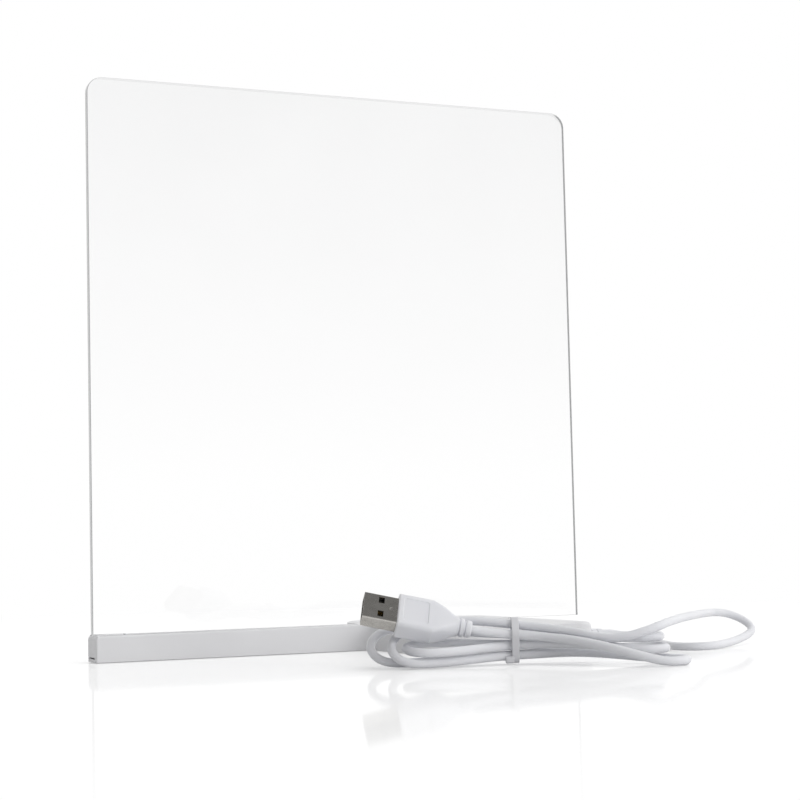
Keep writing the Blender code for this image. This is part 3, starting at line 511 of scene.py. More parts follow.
@dataclass(frozen=True)
class ClearSheet:
    """Clear sheet: see-through faces with gloss, a faint painted reflection that grows to the top, and
    polished edges painted grey in place of their reflections.

    Attributes:
        painted_reflection: The painted reflection's share, a grey layer, at the lower and at the upper of
            the heights.
        side_edge: How much painted grey, standing for their reflections, the left and right edges show.
            top_edge is for the top.
        inner_depth: How far along Y a side edge reaches where it is seen from within.
        rim: The part of the normal along X or Z at which an edge begins, and at which it is full.
        clouds: What the painted reflection's unevenness multiplies it by, at the least and at the most.
    """

    name: str
    painted_reflection: Pair
    heights: Pair
    side_edge: float
    top_edge: float
    inner_depth: float
    # The grey of the painted reflection, on the faces and on the edges.
    painted_grey_colour: Colour
    edge_roughness: float = 0.25
    rim: Pair = (0.2, 0.6)
    cloud_scale: float = 22.0
    clouds: Pair = (0.9, 1.1)
    index: float = 1.49
    gloss_roughness: float = 0.02

    def material(self) -> bpy.types.Material:
        """The material: the painted reflection grows to the top, and the normal tells the rim, which is
        painted grey.

        A thick sheet's refraction narrows the edge that is seen through it, so the side edge's part past
        the inner depth along Y is left clear where it is seen from within. Only faces seen from outside
        have gloss, and a shadow ray meets none.
        """
        wiring = Wiring.of_material(self.name)
        place, facing = (
            wiring.node("SeparateXYZ", {"Vector": wiring.where[kind]}).outputs
            for kind in ("Object", "Normal")
        )
        inside = wiring.node("NewGeometry").outputs["Backfacing"]
        # Painted reflection: a grey layer whose share grows towards the top, made uneven by noise.
        rise = wiring.ranged(place["Z"], self.heights, self.painted_reflection)
        seen = wiring.maths("MULTIPLY", rise, wiring.spread(wiring.noise(self.cloud_scale), *self.clouds))
        deep = wiring.maths("GREATER_THAN", place["Y"], self.inner_depth)
        shown = wiring.maths("SUBTRACT", 1.0, wiring.maths("MULTIPLY", deep, inside))
        # The edges get the painted grey by their normal, standing in for their reflections, with less on
        # the top edge.
        for axis, most, kept in (("X", self.side_edge, shown), ("Z", self.top_edge, 1.0)):
            share = wiring.ranged(wiring.maths("ABSOLUTE", facing[axis]), self.rim, (0.0, most))
            seen = wiring.maths("MAXIMUM", seen, wiring.maths("MULTIPLY", share, kept))
        edge = {"Base Color": (*self.painted_grey_colour, 1.0), "Roughness": self.edge_roughness}
        with_painted_grey = wiring.mixed(seen, wiring.node("BsdfTransparent"), wiring.node("BsdfPrincipled", edge))
        shadow = wiring.node("LightPath").outputs["Is Shadow Ray"]
        outside = wiring.maths("SUBTRACT", 1.0, wiring.maths("MAXIMUM", inside, shadow))
        fresnel = wiring.node("Fresnel", {"IOR": self.index}).outputs["Fac"]
        gloss = wiring.node("BsdfGlossy", {"Color": WHITE, "Roughness": self.gloss_roughness})
        return wiring.done(wiring.mixed(wiring.maths("MULTIPLY", fresnel, outside), with_painted_grey, gloss))


Finish = Moulded | Metal | Phosphor | ClearSheet

HOUSING_WHITE = Moulded("housing_white", (0.80, 0.80, 0.815), (0.775, 0.775, 0.79), (0.34, 0.44))
COVER_WHITE = Moulded("cover_white", (0.74, 0.74, 0.75), (0.71, 0.71, 0.72), (0.48, 0.6), 3200.0, 0.00001)
CORD_WHITE = Moulded(
    "cord_white", (0.77, 0.775, 0.805), (0.745, 0.75, 0.78), (0.36, 0.5), 4200.0, 0.000008, glow_through=0.5
)
TIE_WHITE = Moulded("tie_white", (0.69, 0.69, 0.715), (0.66, 0.66, 0.685), (0.4, 0.5))
PAD_GREY = Moulded("pad_grey", (0.58, 0.58, 0.59), (0.52, 0.52, 0.53), (0.7, 0.85), 2400.0, 0.00002)
BOARD_WHITE = Moulded(
    "board_white", (0.80, 0.82, 0.80), (0.77, 0.79, 0.77), (0.4, 0.5), 2400.0, 0.00001, coat=0.4
)
INSULATOR_BLACK = Moulded("insulator_black", (0.018, 0.018, 0.02), (0.03, 0.03, 0.032), (0.35, 0.5))
WIRE_RED = Moulded("wire_red", (0.62, 0.02, 0.02), (0.55, 0.02, 0.02), (0.4, 0.5))
PLATED = Metal("plated_steel", (0.52, 0.505, 0.48), (0.45, 0.435, 0.41), (0.18, 0.3), (0.25, 1.0, 1.0))
SCREW_STEEL = Metal("screw_steel", (0.56, 0.56, 0.57), (0.48, 0.48, 0.49), (0.28, 0.42))
GOLD = Metal("contact_gold", (0.83, 0.60, 0.24), (0.78, 0.55, 0.2), (0.2, 0.32), (0.3, 1.0, 1.0))
PHOSPHOR = Phosphor("phosphor_yellow", (0.88, 0.74, 0.28))
# Its grey layer is painted reflection: it grows towards the top, and it covers the edges.
CLEAR = ClearSheet(
    "clear_sheet",
    painted_reflection=(0.001, 0.07),
    heights=(0.065, 0.2148),
    # Painted reflection on the edges: much grey on the sides, little on the top.
    side_edge=0.88,
    top_edge=0.2,
    inner_depth=0.0082,
    painted_grey_colour=(0.38, 0.385, 0.395),
)


@dataclass
class Dresser:
    """Gives pieces their finish, body and material slot, and makes each finish once."""

    frame: dict
    finishes: dict[str, bpy.types.Material] = field(default_factory=dict)

    def material(self, finish: Finish) -> bpy.types.Material:
        """The material of a finish."""
        if finish.name not in self.finishes:
            self.finishes[finish.name] = finish.material()
        return self.finishes[finish.name]

    def piece(
        self,
        made: bpy.types.Object,
        finish: Finish,
        nodes: tuple[str, ...],
        body: Body = Body.BASE,
    ) -> bpy.types.Object:
        """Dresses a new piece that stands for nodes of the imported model.

        Args:
            made: The piece.
            finish: Its finish.
            nodes: The nodes that it replaces, or none for a detail.
            body: The body that it moves with.

        Returns:
            The piece.
        """
        made.data.materials.clear()
        made.data.materials.append(self.material(finish))
        if made.type == "MESH":
            made.modifiers.new("Even faces", "WEIGHTED_NORMAL").keep_sharp = True
        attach(made, body.value)
        if nodes:
            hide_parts(*nodes)
        LOG.info("%s stands for %s", made.name, ", ".join(nodes) or "detail")
        return made

    def node(self, name: str, finish: Finish) -> None:
        """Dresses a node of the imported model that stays."""
        made = self.frame["nodes"][name]
        for slot in made.material_slots:
            slot.material = self.material(finish)
        LOG.info("%s keeps its solid", name)


@dataclass
class ClearPlate:
    """The writing plate with its tongue, shoulders and round top corners."""

    width: float = 0.200
    thickness: float = 0.003
    top: float = 0.2148
    seat: float = 0.0042
    shoulder: float = 0.0100
    tongue_left: float = -0.088
    tongue_right: float = 0.070
    corner: float = 0.006
    edge_round: float = 0.00035
    middle_y: float = 0.008
    corner_steps: int = 20
    edge_steps: int = 4
    sharp: float = 50.0

    def outline(self, inset: float) -> Array:
        """The plate seen from the front, as (x, z), drawn in by the inset."""
        half, low = self.width / 2 - inset, self.shoulder + inset
        left, right, bottom = self.tongue_left + inset, self.tongue_right - inset, self.seat + inset
        radius = self.corner - inset
        centre_x, centre_z = self.width / 2 - self.corner, self.top - self.corner
        parts = [
            np.array([(left, bottom), (right, bottom), (right, low), (half, low)]),
            arc((centre_x, centre_z), radius, 0.0, 90.0, self.corner_steps),
            arc((-centre_x, centre_z), radius, 90.0, 180.0, self.corner_steps),
            np.array([(-half, low), (left, low)]),
        ]
        return np.concatenate(parts)

    def make(self) -> bpy.types.Object:
        """The plate: its outline carried through a quarter round, the edge and a quarter round."""
        soft = self.edge_round
        edge = arc((soft, -self.thickness / 2 + soft), soft, 270.0, 180.0, self.edge_steps)
        rows = []
        for inset, depth in np.concatenate([edge, edge[::-1] * (1.0, -1.0)]):
            rows.append(on_plane(self.outline(inset), self.middle_y + depth)[:, [0, 2, 1]])
        shape = Shape()
        for end in shape.band(np.stack(rows)):
            shape.fill(end)
        return shape.made("clear_plate", sharp=self.sharp)

    def build(self, dresser: Dresser) -> None:
        """Makes and dresses the plate."""
        dresser.piece(self.make(), CLEAR, ("writing_plate",), Body.PLATE)


@dataclass
class Housing:
    """The base's housing: a bar that widens into a foot, hollow below, with the slot for the plate.

    Attributes:
        front: How far the foot reaches to the front of the bar's middle. back is the same to the back.
        crisp: The top edge's radius along the bar. foot_more and end_more are added on foot and ends.
        foot_ease: Over which distance the radius grows to the foot. shoulder_ease is for the right end.
        gland: The place of the cord's hole in the right wall, as (y, z).
        gland_walls: How far inward the hole's cutter reaches, in walls.
        probe: The inset by which the outline's inward direction is measured.
    """

    left: float = -0.100
    bar_depth: float = 0.0115
    foot_left: float = 0.008
    foot_right: float = 0.077
    front: float = 0.058
    back: float = 0.042
    throat: float = 0.006
    left_corner: float = 0.028
    front_corner: float = 0.008
    back_corner: float = 0.012
    end_corner: float = 0.0007
    middle_y: float = 0.008
    bottom: float = 0.0002
    top: float = 0.0098
    wall: float = 0.0020
    rim: float = 0.0012
    ledge: float = 0.0019
    ceiling: float = 0.0078
    rail_bottom: float = 0.0034
    rail_half: float = 0.0035
    slot_half: float = 0.0017
    slot_left: float = -0.0883
    slot_right: float = 0.0703
    seat: float = 0.0041
    steps: int = 20
    end_steps: int = 6
    foot_steps: int = 4
    top_steps: int = 8
    ring_steps: int = 3
    crisp: float = 0.0003
    foot_more: float = 0.0002
    foot_ease: float = 0.012
    end_more: float = 0.0014
    shoulder_ease: float = 0.009
    foot_round: float = 0.00006
    inner_round: float = 0.0004
    rail_past: float = 0.004
    notch_half: float = 0.0035
    notch_past: float = 0.0002
    notch_height: float = 0.0006
    gland_radius: float = 0.0022
    gland: Pair = (-0.034, 0.0044)
    gland_walls: float = 1.5
    gland_sides: int = 32
    probe: float = 0.0004

    def outline(self, inset: float) -> Array:
        """The base seen from above, drawn in by the inset: straight sides and arcs about fixed centres."""
        half, reach = self.bar_depth / 2, max(self.end_corner, inset)
        throat_x, left_x = self.foot_left - self.throat, self.foot_left + self.left_corner
        front_x, back_x = self.foot_right - self.front_corner, self.foot_right - self.back_corner
        end, throat, left = reach - inset, self.throat + inset, self.left_corner - inset
        front, back = self.front_corner - inset, self.back_corner - inset
        arcs = (
            ((self.left + reach, -half + reach), end, 180.0, 270.0, self.end_steps),
            ((throat_x, -half - self.throat), throat, 90.0, 0.0, self.steps),
            ((left_x, -self.front + self.left_corner), left, 180.0, 270.0, 2 * self.steps),
            ((front_x, -self.front + self.front_corner), front, 270.0, 360.0, self.steps),
            ((back_x, self.back - self.back_corner), back, 0.0, 90.0, self.steps),
            ((left_x, self.back - self.left_corner), left, 90.0, 180.0, 2 * self.steps),
            ((throat_x, half + self.throat), throat, 0.0, -90.0, self.steps),
            ((self.left + reach, half - reach), end, 90.0, 180.0, self.end_steps),
        )
        return np.concatenate([arc(*bend) for bend in arcs]) + (0.0, self.middle_y)

    def top_round(self, outline: Array) -> Array:
        """The top edge's radius at each point: crisp along the bar, rounder on the foot and the ends."""
        x, y = outline[:, 0], outline[:, 1] - self.middle_y
        foot = smoothstep((np.abs(y) - self.bar_depth / 2) / self.foot_ease)
        end = smoothstep((self.left + self.end_more - x) / self.end_more)
        shoulder = smoothstep((x - self.foot_right + self.shoulder_ease) / self.shoulder_ease)
        return self.crisp + self.foot_more * foot + self.end_more * end + self.end_more * shoulder

    def skin(self) -> Array:
        """The outer wall's rings, from the bottom's inner edge round to the top's edge."""
        outer = self.outline(0.0)
        drawn = (self.outline(self.probe) - outer) / self.probe
        radius = self.top_round(outer)[:, None]
        rings = []
        for rise, inset in quarter(self.foot_steps):
            level = self.bottom + self.foot_round * rise
            rings.append(on_plane(outer + drawn * (self.foot_round * inset), level))
        for inset, drop in quarter(self.top_steps):
            ring = on_plane(outer + drawn * radius * inset, self.top)
            ring[:, 2:] -= radius * drop
            rings.append(ring)
        return np.stack(rings)

    def make(self) -> bpy.types.Object:
        """The housing: skin, rebate, hollow with its rail, and the slot for the plate's tongue."""
        shape = Shape()
        bottom, top = shape.band(self.skin())
        wall, rim = self.outline(self.wall), self.outline(self.rim)
        steps = (wall, self.ceiling), (wall, self.ledge), (rim, self.ledge), (rim, self.bottom)
        ceiling, edge = shape.walls(*steps)
        shape.fill(bottom, edge)
        middle = ((self.slot_left + self.slot_right) / 2, self.middle_y)
        long, bend = (self.slot_right - self.slot_left) / 2, self.inner_round
        slot = round_rectangle(long, self.slot_half, bend, self.ring_steps) + middle
        rail = round_rectangle(long + self.rail_past, self.rail_half, bend, self.ring_steps) + middle
        for face, ring, levels in (
            (top, slot, (self.top, self.seat)),
            (ceiling, rail, (self.ceiling, self.rail_bottom)),
        ):
            mouth, floor = shape.walls(*((ring, level) for level in levels))
            shape.fill(face, mouth)
            shape.fill(floor)
        notch = block(
            (self.left - PAST, self.middle_y - self.notch_half, self.ledge - self.notch_height),
            (self.left + self.rim + self.notch_past, self.middle_y + self.notch_half, self.ledge),
        )
        ends = (-self.wall * self.gland_walls, self.wall)
        profile = np.array([(x, self.gland_radius) for x in ends])
        gland = Shape.solid(about_x(profile, self.gland_sides) + (self.foot_right, *self.gland))
        return cut(shape.made("base_housing"), [notch, gland])

    def build(self, dresser: Dresser) -> None:
        """Makes and dresses the housing."""
        dresser.piece(self.make(), HOUSING_WHITE, ("base_shell",))


@dataclass
class Underside:
    """The cover under the base, with its screws and pads.

    Attributes:
        sink: How deep the hole for a screw's head is. dome is how much the head bulges.
        cross: The cross in a screw's head: its reach as a share of the head, its half width and its depth.
        core: The radius of the faces that close a pad above and below.
    """

    housing: Housing
    thickness: float = 0.0015
    sink: float = 0.0009
    head: float = 0.0019
    dome: float = 0.0003
    hole: float = 0.0012
    pad: float = 0.0036
    pad_top: float = 0.0010
    fit: float = 0.0003
    play: float = 0.0002
    pad_soft: float = 0.0004
    edge_steps: int = 5
    shaft: float = 0.0010
    neck: float = 0.0007
    thread_start: float = 0.0009
    thread_step: float = 0.0002
    thread_depth: float = 0.00018
    thread_end: float = 0.0006
    screw_tip: float = 0.0003
    cross: Triple = (0.62, 0.00026, 0.00045)
    core: float = 0.0004
    screw_sides: int = 28
    hole_sides: int = 32
    pad_sides: int = 40

    def centre(self, node: str) -> Pair:
        """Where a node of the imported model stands, seen from above."""
        low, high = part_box(node)
        middle = (low + high) / 2
        return middle.x, middle.y

    def ring(self, node: str, radius: float, sides: int) -> Array:
        """A circle round a node, seen from above."""
        return arc(self.centre(node), radius, 0.0, 360.0, sides)[:-1]

    def cover(self) -> bpy.types.Object:
        """The flat cover: its outline, sunk screw holes, and recesses for the pads."""
        low, high = self.housing.bottom, self.housing.bottom + self.thickness
        inset = self.housing.rim + self.fit
        outline, soft = self.housing.outline(inset), self.housing.outline(inset + self.play)
        shape = Shape()
        bottom, top = shape.walls((soft, low), (outline, low + self.play), (outline, high))
        mouths, exits = [], []
        for number in SCREWS:
            radii, step = (self.head + self.play, self.hole), low + self.sink
            wide, slim = (self.ring(f"screw_{number}", radius, self.hole_sides) for radius in radii)
            mouth, leave = shape.walls((wide, low), (wide, step), (slim, step), (slim, high))
            mouths.append(mouth)
            exits.append(leave)
        for number in PADS:
            ring = self.ring(f"pad_{number}", self.pad + self.fit, self.pad_sides)
            mouth, end = shape.walls((ring, low), (ring, self.pad_top + self.play))
            shape.faces.append(tuple(end))
            mouths.append(mouth)
        shape.fill(bottom, *mouths)
        shape.fill(top, *exits)
        return shape.made("base_cover")

    def upright(self, node: str, level: float) -> Matrix:
        """A frame with X upward at a node's middle and that height."""
        turn = Matrix.Rotation(math.radians(-90.0), 4, "Y")
        return Matrix.Translation((*self.centre(node), level)) @ turn

    def foot_pad(self, number: int) -> bpy.types.Object:
        """A pad: a short disc with a round lower edge."""
        soft, core = self.pad_soft, self.core
        edge = arc((soft, self.pad - soft), soft, 180.0, 90.0, self.edge_steps)
        profile = np.concatenate([[(0.0, core)], edge, [(self.pad_top, self.pad), (self.pad_top, core)]])
        shape = Shape.solid(about_x(profile, self.pad_sides))
        return shape.made(f"foot_pad_{number}", self.upright(f"pad_{number}", 0.0))

    def screw(self, number: int) -> bpy.types.Object:
        """A screw: a domed head with a cross, and a threaded shaft of ridges down its length."""
        node = f"screw_{number}"
        low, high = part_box(node)
        length = high.z - low.z
        along = np.arange(self.thread_start, length - self.thread_end, self.thread_step)
        ridges = self.shaft - self.thread_depth * (np.arange(len(along)) % 2)
        neck = [(self.neck, self.head), (self.neck, self.shaft)]
        thread = np.column_stack([along, ridges])
        profile = np.concatenate([cap(self.head, self.dome), neck, thread, [(length, self.screw_tip)]])
        solid = Shape.solid(about_x(profile, self.screw_sides))
        made = solid.made(f"cover_{node}", self.upright(node, low.z))
        x, y = self.centre(node)
        share, half, deep = self.cross
        long, bottom, top = self.head * share, low.z - PAST, low.z + deep
        arms = ((long, half), (half, long))
        return cut(made, [block((x - a, y - b, bottom), (x + a, y + b, top)) for a, b in arms])

    def build(self, dresser: Dresser) -> None:
        """Makes and dresses the cover, screws and pads."""
        dresser.piece(self.cover(), COVER_WHITE, ("bottom_cover",))
        for number in SCREWS:
            dresser.piece(self.screw(number), SCREW_STEEL, (f"screw_{number}",))
        for number in PADS:
            dresser.piece(self.foot_pad(number), PAD_GREY, (f"pad_{number}",))


class Inside:
    """The light board and its parts, which keep their solids."""

    def build(self, dresser: Dresser) -> None:
        """Dresses the nodes inside the base."""
        dresser.node("led_board", BOARD_WHITE)
        for number in LIGHTS:
            dresser.node(f"led_{number}", PHOSPHOR)
        for name in ("resistor_1", "resistor_2", "lead_black"):
            dresser.node(name, INSULATOR_BLACK)
        dresser.node("lead_red", WIRE_RED)


@dataclass(frozen=True)
class Run:
    """One run of cord through the tie: its column and layer there, in pitches, and its lift."""

    column: float
    layer: float
    lift: float


@dataclass(frozen=True)
class Fold:
    """One fold of the hank: its reach, its middle's place and height, and its lean in degrees."""

    reach: float
    toward: float
    height: float
    lean: float


@dataclass
class Lead:
    """The cord: a hank of folded runs held by a tie, and a free stretch back to the base.

    Attributes:
        pitch: How far apart the strands are in the tie. waist_height is the lowest layer's height there.
        turn: The hank's turn from X, in degrees.
        slope_power: How late a run climbs or sinks on its way to a fold on the right.
        spread_share: How soon a run has moved across to its fold's arm.
        last_rise: How far the last run bows up on its way to the tie.
        plug_lead: Where along the hank the plug's boot begins. lead_forward and lead_rise are how far it
            is toward the viewer of the first run's place in the tie, and above it.
        rise: The plug's rise, in degrees, with its swing toward the viewer and its roll.
        fit: How far from boot and relief the cord's curve is laid out. From there it runs straight in.
        run_out: The hank's last control points, from the last run's place in the tie.
        route: Points of the free stretch, from the hank to the strain relief.
    """

    diameter: float = 0.0029
    pitch: float = 0.00333
    waist_height: float = 0.0030
    tie_centre: Pair = (0.0112, -0.1083)
    turn: float = -24.3
    fold_radius: float = 0.009
    pass_steps: int = 7
    fold_steps: int = 5
    slope_power: float = 1.4
    spread_share: float = 1.05
    last_rise: float = 0.0020
    hank_steps: int = 10
    route_steps: int = 12
    step: float = 0.0012
    section_steps: int = 6
    plug_lead: float = -0.0145
    lead_forward: float = 0.0014
    lead_rise: float = 0.0022
    rise: float = 12.5
    swing: float = 5.0
    roll: float = 50.0
    fit: float = 0.0003
    relief_tip: float = 0.0872
    exit_y: float = -0.034
    exit_z: float = 0.0044
    runs: tuple[Run, ...] = (
        Run(1.4, 2.0, 0.00099),
        Run(0.5, 0.0, 0.00152),
        Run(-0.5, 2.0, -0.00041),
        Run(-0.5, 1.0, 0.00003),
        Run(0.5, 1.0, 0.00117),
        Run(-0.5, 0.0, 0.00037),
        Run(0.5, 3.0, 0.0),
    )
    folds: tuple[Fold, ...] = (
        Fold(0.0540, 0.0200, 0.0016, 0.0),
        Fold(-0.0410, 0.0090, 0.0069, -36.5),
        Fold(0.0475, 0.0060, 0.0085, 0.0),
        Fold(-0.0362, 0.0075, 0.0063, 172.0),
        Fold(0.0486, 0.0110, 0.0050, 0.0),
        Fold(-0.0478, 0.0025, 0.0069, -36.5),
    )
    run_out: tuple[Triple, ...] = ((0.0095, 0.0036, -0.0010), (0.0190, 0.0100, -0.0025))
    route: tuple[Triple, ...] = (
        (0.0276, -0.1327, 0.0092), (0.0310, -0.1370, 0.0088), (0.0358, -0.1404, 0.0094),
        (0.0412, -0.1422, 0.0109), (0.0468, -0.1410, 0.0122), (0.0530, -0.1355, 0.0128),
        (0.0620, -0.1248, 0.0128), (0.0734, -0.1122, 0.0129), (0.0881, -0.0968, 0.0129),
        (0.1157, -0.0634, 0.0119), (0.1248, -0.0577, 0.0116), (0.1299, -0.0571, 0.0107),
        (0.1334, -0.0591, 0.0090), (0.1347, -0.0627, 0.0069), (0.1331, -0.0665, 0.0049),
        (0.1282, -0.0702, 0.0033), (0.1185, -0.0779, 0.0023), (0.1085, -0.0862, 0.0019),
        (0.0985, -0.0938, 0.0018), (0.0908, -0.0936, 0.0017), (0.0871, -0.0873, 0.0017),
        (0.0903, -0.0755, 0.0016), (0.0943, -0.0644, 0.0016), (0.1004, -0.0479, 0.0017),
        (0.0985, -0.0394, 0.0027), (0.0935, -0.0351, 0.0039),
    )

    def frame(self) -> Matrix:
        """The hank's own frame on the table: X along it, Y away from the viewer."""
        turned = Matrix.Rotation(math.radians(self.turn), 4, "Z")
        return Matrix.Translation((*self.tie_centre, 0.0)) @ turned

    def in_world(self, points: Array) -> Array:
        """Hank points (along, toward, height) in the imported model's frame."""
        return placed(points * (1.0, -1.0, 1.0), self.frame())

    def arms(self, fold: Fold) -> tuple[Array, Array]:
        """Where a fold begins and ends, as (toward, height): its middle plus and less its leaning arm."""
        lean = math.radians(fold.lean)
        arm = self.fold_radius * np.array([math.cos(lean), math.sin(lean)])
        middle = np.array([fold.toward, fold.height])
        return middle + arm, middle - arm

    def turn_centre(self, fold: Fold) -> float:
        """How far along the hank a fold's round end has its centre."""
        return fold.reach - math.copysign(self.fold_radius, fold.reach)

    def waist(self, run: Run) -> Array:
        """A run's place in the tie, as (toward, height)."""
        return np.array([run.column * self.pitch, self.waist_height + run.layer * self.pitch])

    def on_run(self, run: Run, arm: Array, reach: float, along: Array) -> Array:
        """Points between the tie and a fold's arm: the place, eased shares of the way, and a lift.

        Args:
            run: The run.
            arm: The fold's arm, as (toward, height).
            reach: How far along the hank the arm is.
            along: The points' places along the hank.

        Returns:
            The points, as (along, toward, height). The lift goes with a sine's square.
        """
        place, share = self.waist(run), np.abs(along / reach)
        across = smoothstep(share * self.spread_share)
        up = share**self.slope_power if reach > 0 else smoothstep(share)
        lift = (run.lift if reach > 0 else 0.0) * np.sin(np.pi * share) ** 2
        way = arm - place
        return np.column_stack([along, place[0] + way[0] * across, place[1] + way[1] * up + lift])

    def pass_through(self, run: Run, before: Fold, after: Fold) -> Array:
        """A run from one fold's last arm through the tie to the next one's first."""
        start, end = self.turn_centre(before), self.turn_centre(after)
        along = np.linspace(start, end, self.pass_steps)
        from_fold = self.on_run(run, self.arms(before)[1], start, along)
        to_fold = self.on_run(run, self.arms(after)[0], end, along)
        return np.where((along * start > 0)[:, None], from_fold, to_fold)

    def round_fold(self, fold: Fold) -> Array:
        """Points round a fold: half a turn between its arms, by sine along the hank and cosine across."""
        turn = np.pi * np.arange(1, self.fold_steps + 1) / (self.fold_steps + 1)
        first, last = self.arms(fold)
        along = self.turn_centre(fold) + math.copysign(self.fold_radius, fold.reach) * np.sin(turn)
        across = (first + last) / 2 + np.cos(turn)[:, None] * (first - last) / 2
        return np.column_stack([along, across])

    def plug_direction(self) -> Array:
        """The way from the plug's boot to its tip, as (along, toward, height)."""
        rise, swing = math.radians(self.rise), math.radians(self.swing)
        level = math.cos(rise)
        return np.array([-level * math.cos(swing), level * math.sin(swing), math.sin(rise)])

    def plug_end(self) -> Array:
        """Where the cord meets the plug's boot, as (along, toward, height)."""
        place = self.waist(self.runs[0])
        return np.array([self.plug_lead, place[0] + self.lead_forward, place[1] + self.lead_rise])

    def hank(self) -> Array:
        """Control points of the hank, from the plug's boot to the run out of the tie."""
        ahead, first = self.plug_direction(), self.waist(self.runs[0])
        start = self.plug_end() - ahead * self.fit
        straight = start - ahead * self.diameter
        middle = np.array([0.0, *first])
        parts = [np.stack([start, straight, (straight + middle) / 2, middle])]
        reach = self.turn_centre(self.folds[0])
        along = reach * np.arange(1, self.pass_steps - 1) / (self.pass_steps - 2)
        parts.append(self.on_run(self.runs[0], self.arms(self.folds[0])[0], reach, along))
        for run, before, after in zip(self.runs[1:], self.folds, self.folds[1:]):
            parts += [self.round_fold(before), self.pass_through(run, before, after)]
        parts.append(self.round_fold(self.folds[-1]))
        last, reach = self.waist(self.runs[-1]), self.turn_centre(self.folds[-1])
        share = 1.0 - np.arange(self.pass_steps - 2) / (self.pass_steps - 3)
        home = self.on_run(self.runs[-1], self.arms(self.folds[-1])[1], reach, reach * share)
        home[:, 2] += self.last_rise * np.sin(np.pi * share)
        parts += [home, np.array(self.run_out) + (0.0, *last)]
        return np.concatenate(parts)

    @staticmethod
    def spans(points: Array, steps: int) -> tuple[Array, ...]:
        """Steps through a span, and each span's four neighbouring points, the ends carried on straight."""
        ends = np.concatenate([[2 * points[0] - points[1]], points, [2 * points[-1] - points[-2]]])
        near = (ends[first : len(ends) - 3 + first, None, :] for first in range(4))
        return np.arange(steps)[None, :, None] / steps, *near

    def blended(self, controls: Array, steps: int) -> Array:
        """The uniform cubic curve that control points shape: weights (1 - t)^3 and so on, over 6."""
        t, a, b, c, d = self.spans(controls, steps)
        near = (1 - t) ** 3 * a + (3 * t**3 - 6 * t**2 + 4) * b
        far = (3 * t**2 - 3 * t**3 + 3 * t + 1) * c + t**3 * d
        return np.concatenate([((near + far) / 6).reshape(-1, 3), controls[-1:]])

    def through(self, route: Array, steps: int) -> Array:
        """The smooth curve through the route's own points, by each span's cubic from its neighbours."""
        t, a, b, c, d = self.spans(route, steps)
        cubic = (2 * a - 5 * b + 4 * c - d) * t**2 + (3 * b - a - 3 * c + d) * t**3
        return np.concatenate([(b + ((c - a) * t + cubic) / 2).reshape(-1, 3), route[-1:]])

    def even(self, points: Array, step: float) -> Array:
        """Points an even step apart along a line of points: each axis read at even lengths."""
        lengths = np.concatenate([[0.0], np.cumsum(np.linalg.norm(np.diff(points, axis=0), axis=1))])
        places = np.linspace(0.0, lengths[-1], max(2, round(lengths[-1] / step)) + 1)
        return np.stack([np.interp(places, lengths, points[:, axis]) for axis in range(3)], axis=1)

    def line(self) -> Array:
        """The whole cord's centreline, from inside the strain relief to inside the plug's boot."""
        hank = self.in_world(self.blended(self.hank(), self.hank_steps))
        ahead = unit(hank[-1] - hank[-4])
        end = np.array([self.relief_tip + self.fit, self.exit_y, self.exit_z])
        straight = np.array([self.diameter, 0.0, 0.0])
        start = hank[-1] + ahead * self.fit
        route = [start, start + ahead * self.diameter, *np.array(self.route), end + straight, end]
        stretch = self.through(np.stack(route), self.route_steps)
        into_boot = hank[0] + unit(hank[0] - hank[3]) * self.diameter / 2
        whole = np.concatenate([[end - straight / 2], stretch[::-1], hank[::-1], [into_boot]])
        return self.even(whole, self.step)

    def make(self) -> bpy.types.Object:
        """The cord: one open curve with a round section."""
        points = self.line()
        curve = bpy.data.curves.new("white_cord", "CURVE")
        curve.dimensions = "3D"
        curve.bevel_depth = self.diameter / 2
        curve.bevel_resolution = self.section_steps
        curve.use_fill_caps = True
        spline = curve.splines.new("POLY")
        spline.points.add(len(points) - 1)
        spline.points.foreach_set("co", np.column_stack([points, np.ones(len(points))]).ravel())
        return in_scene("white_cord", curve)

    def strands(self, along: float) -> Array:
        """Where the cord's strands pass a place along the hank, as (toward, height)."""
        points = self.blended(self.hank(), self.hank_steps)
        before, after = points[:-1], points[1:]
        passes = (before[:, 0] - along) * (after[:, 0] - along) < 0
        before, after = before[passes], after[passes]
        share = (before[:, :1] - along) / (before[:, :1] - after[:, :1])
        return (before + (after - before) * share)[:, 1:]


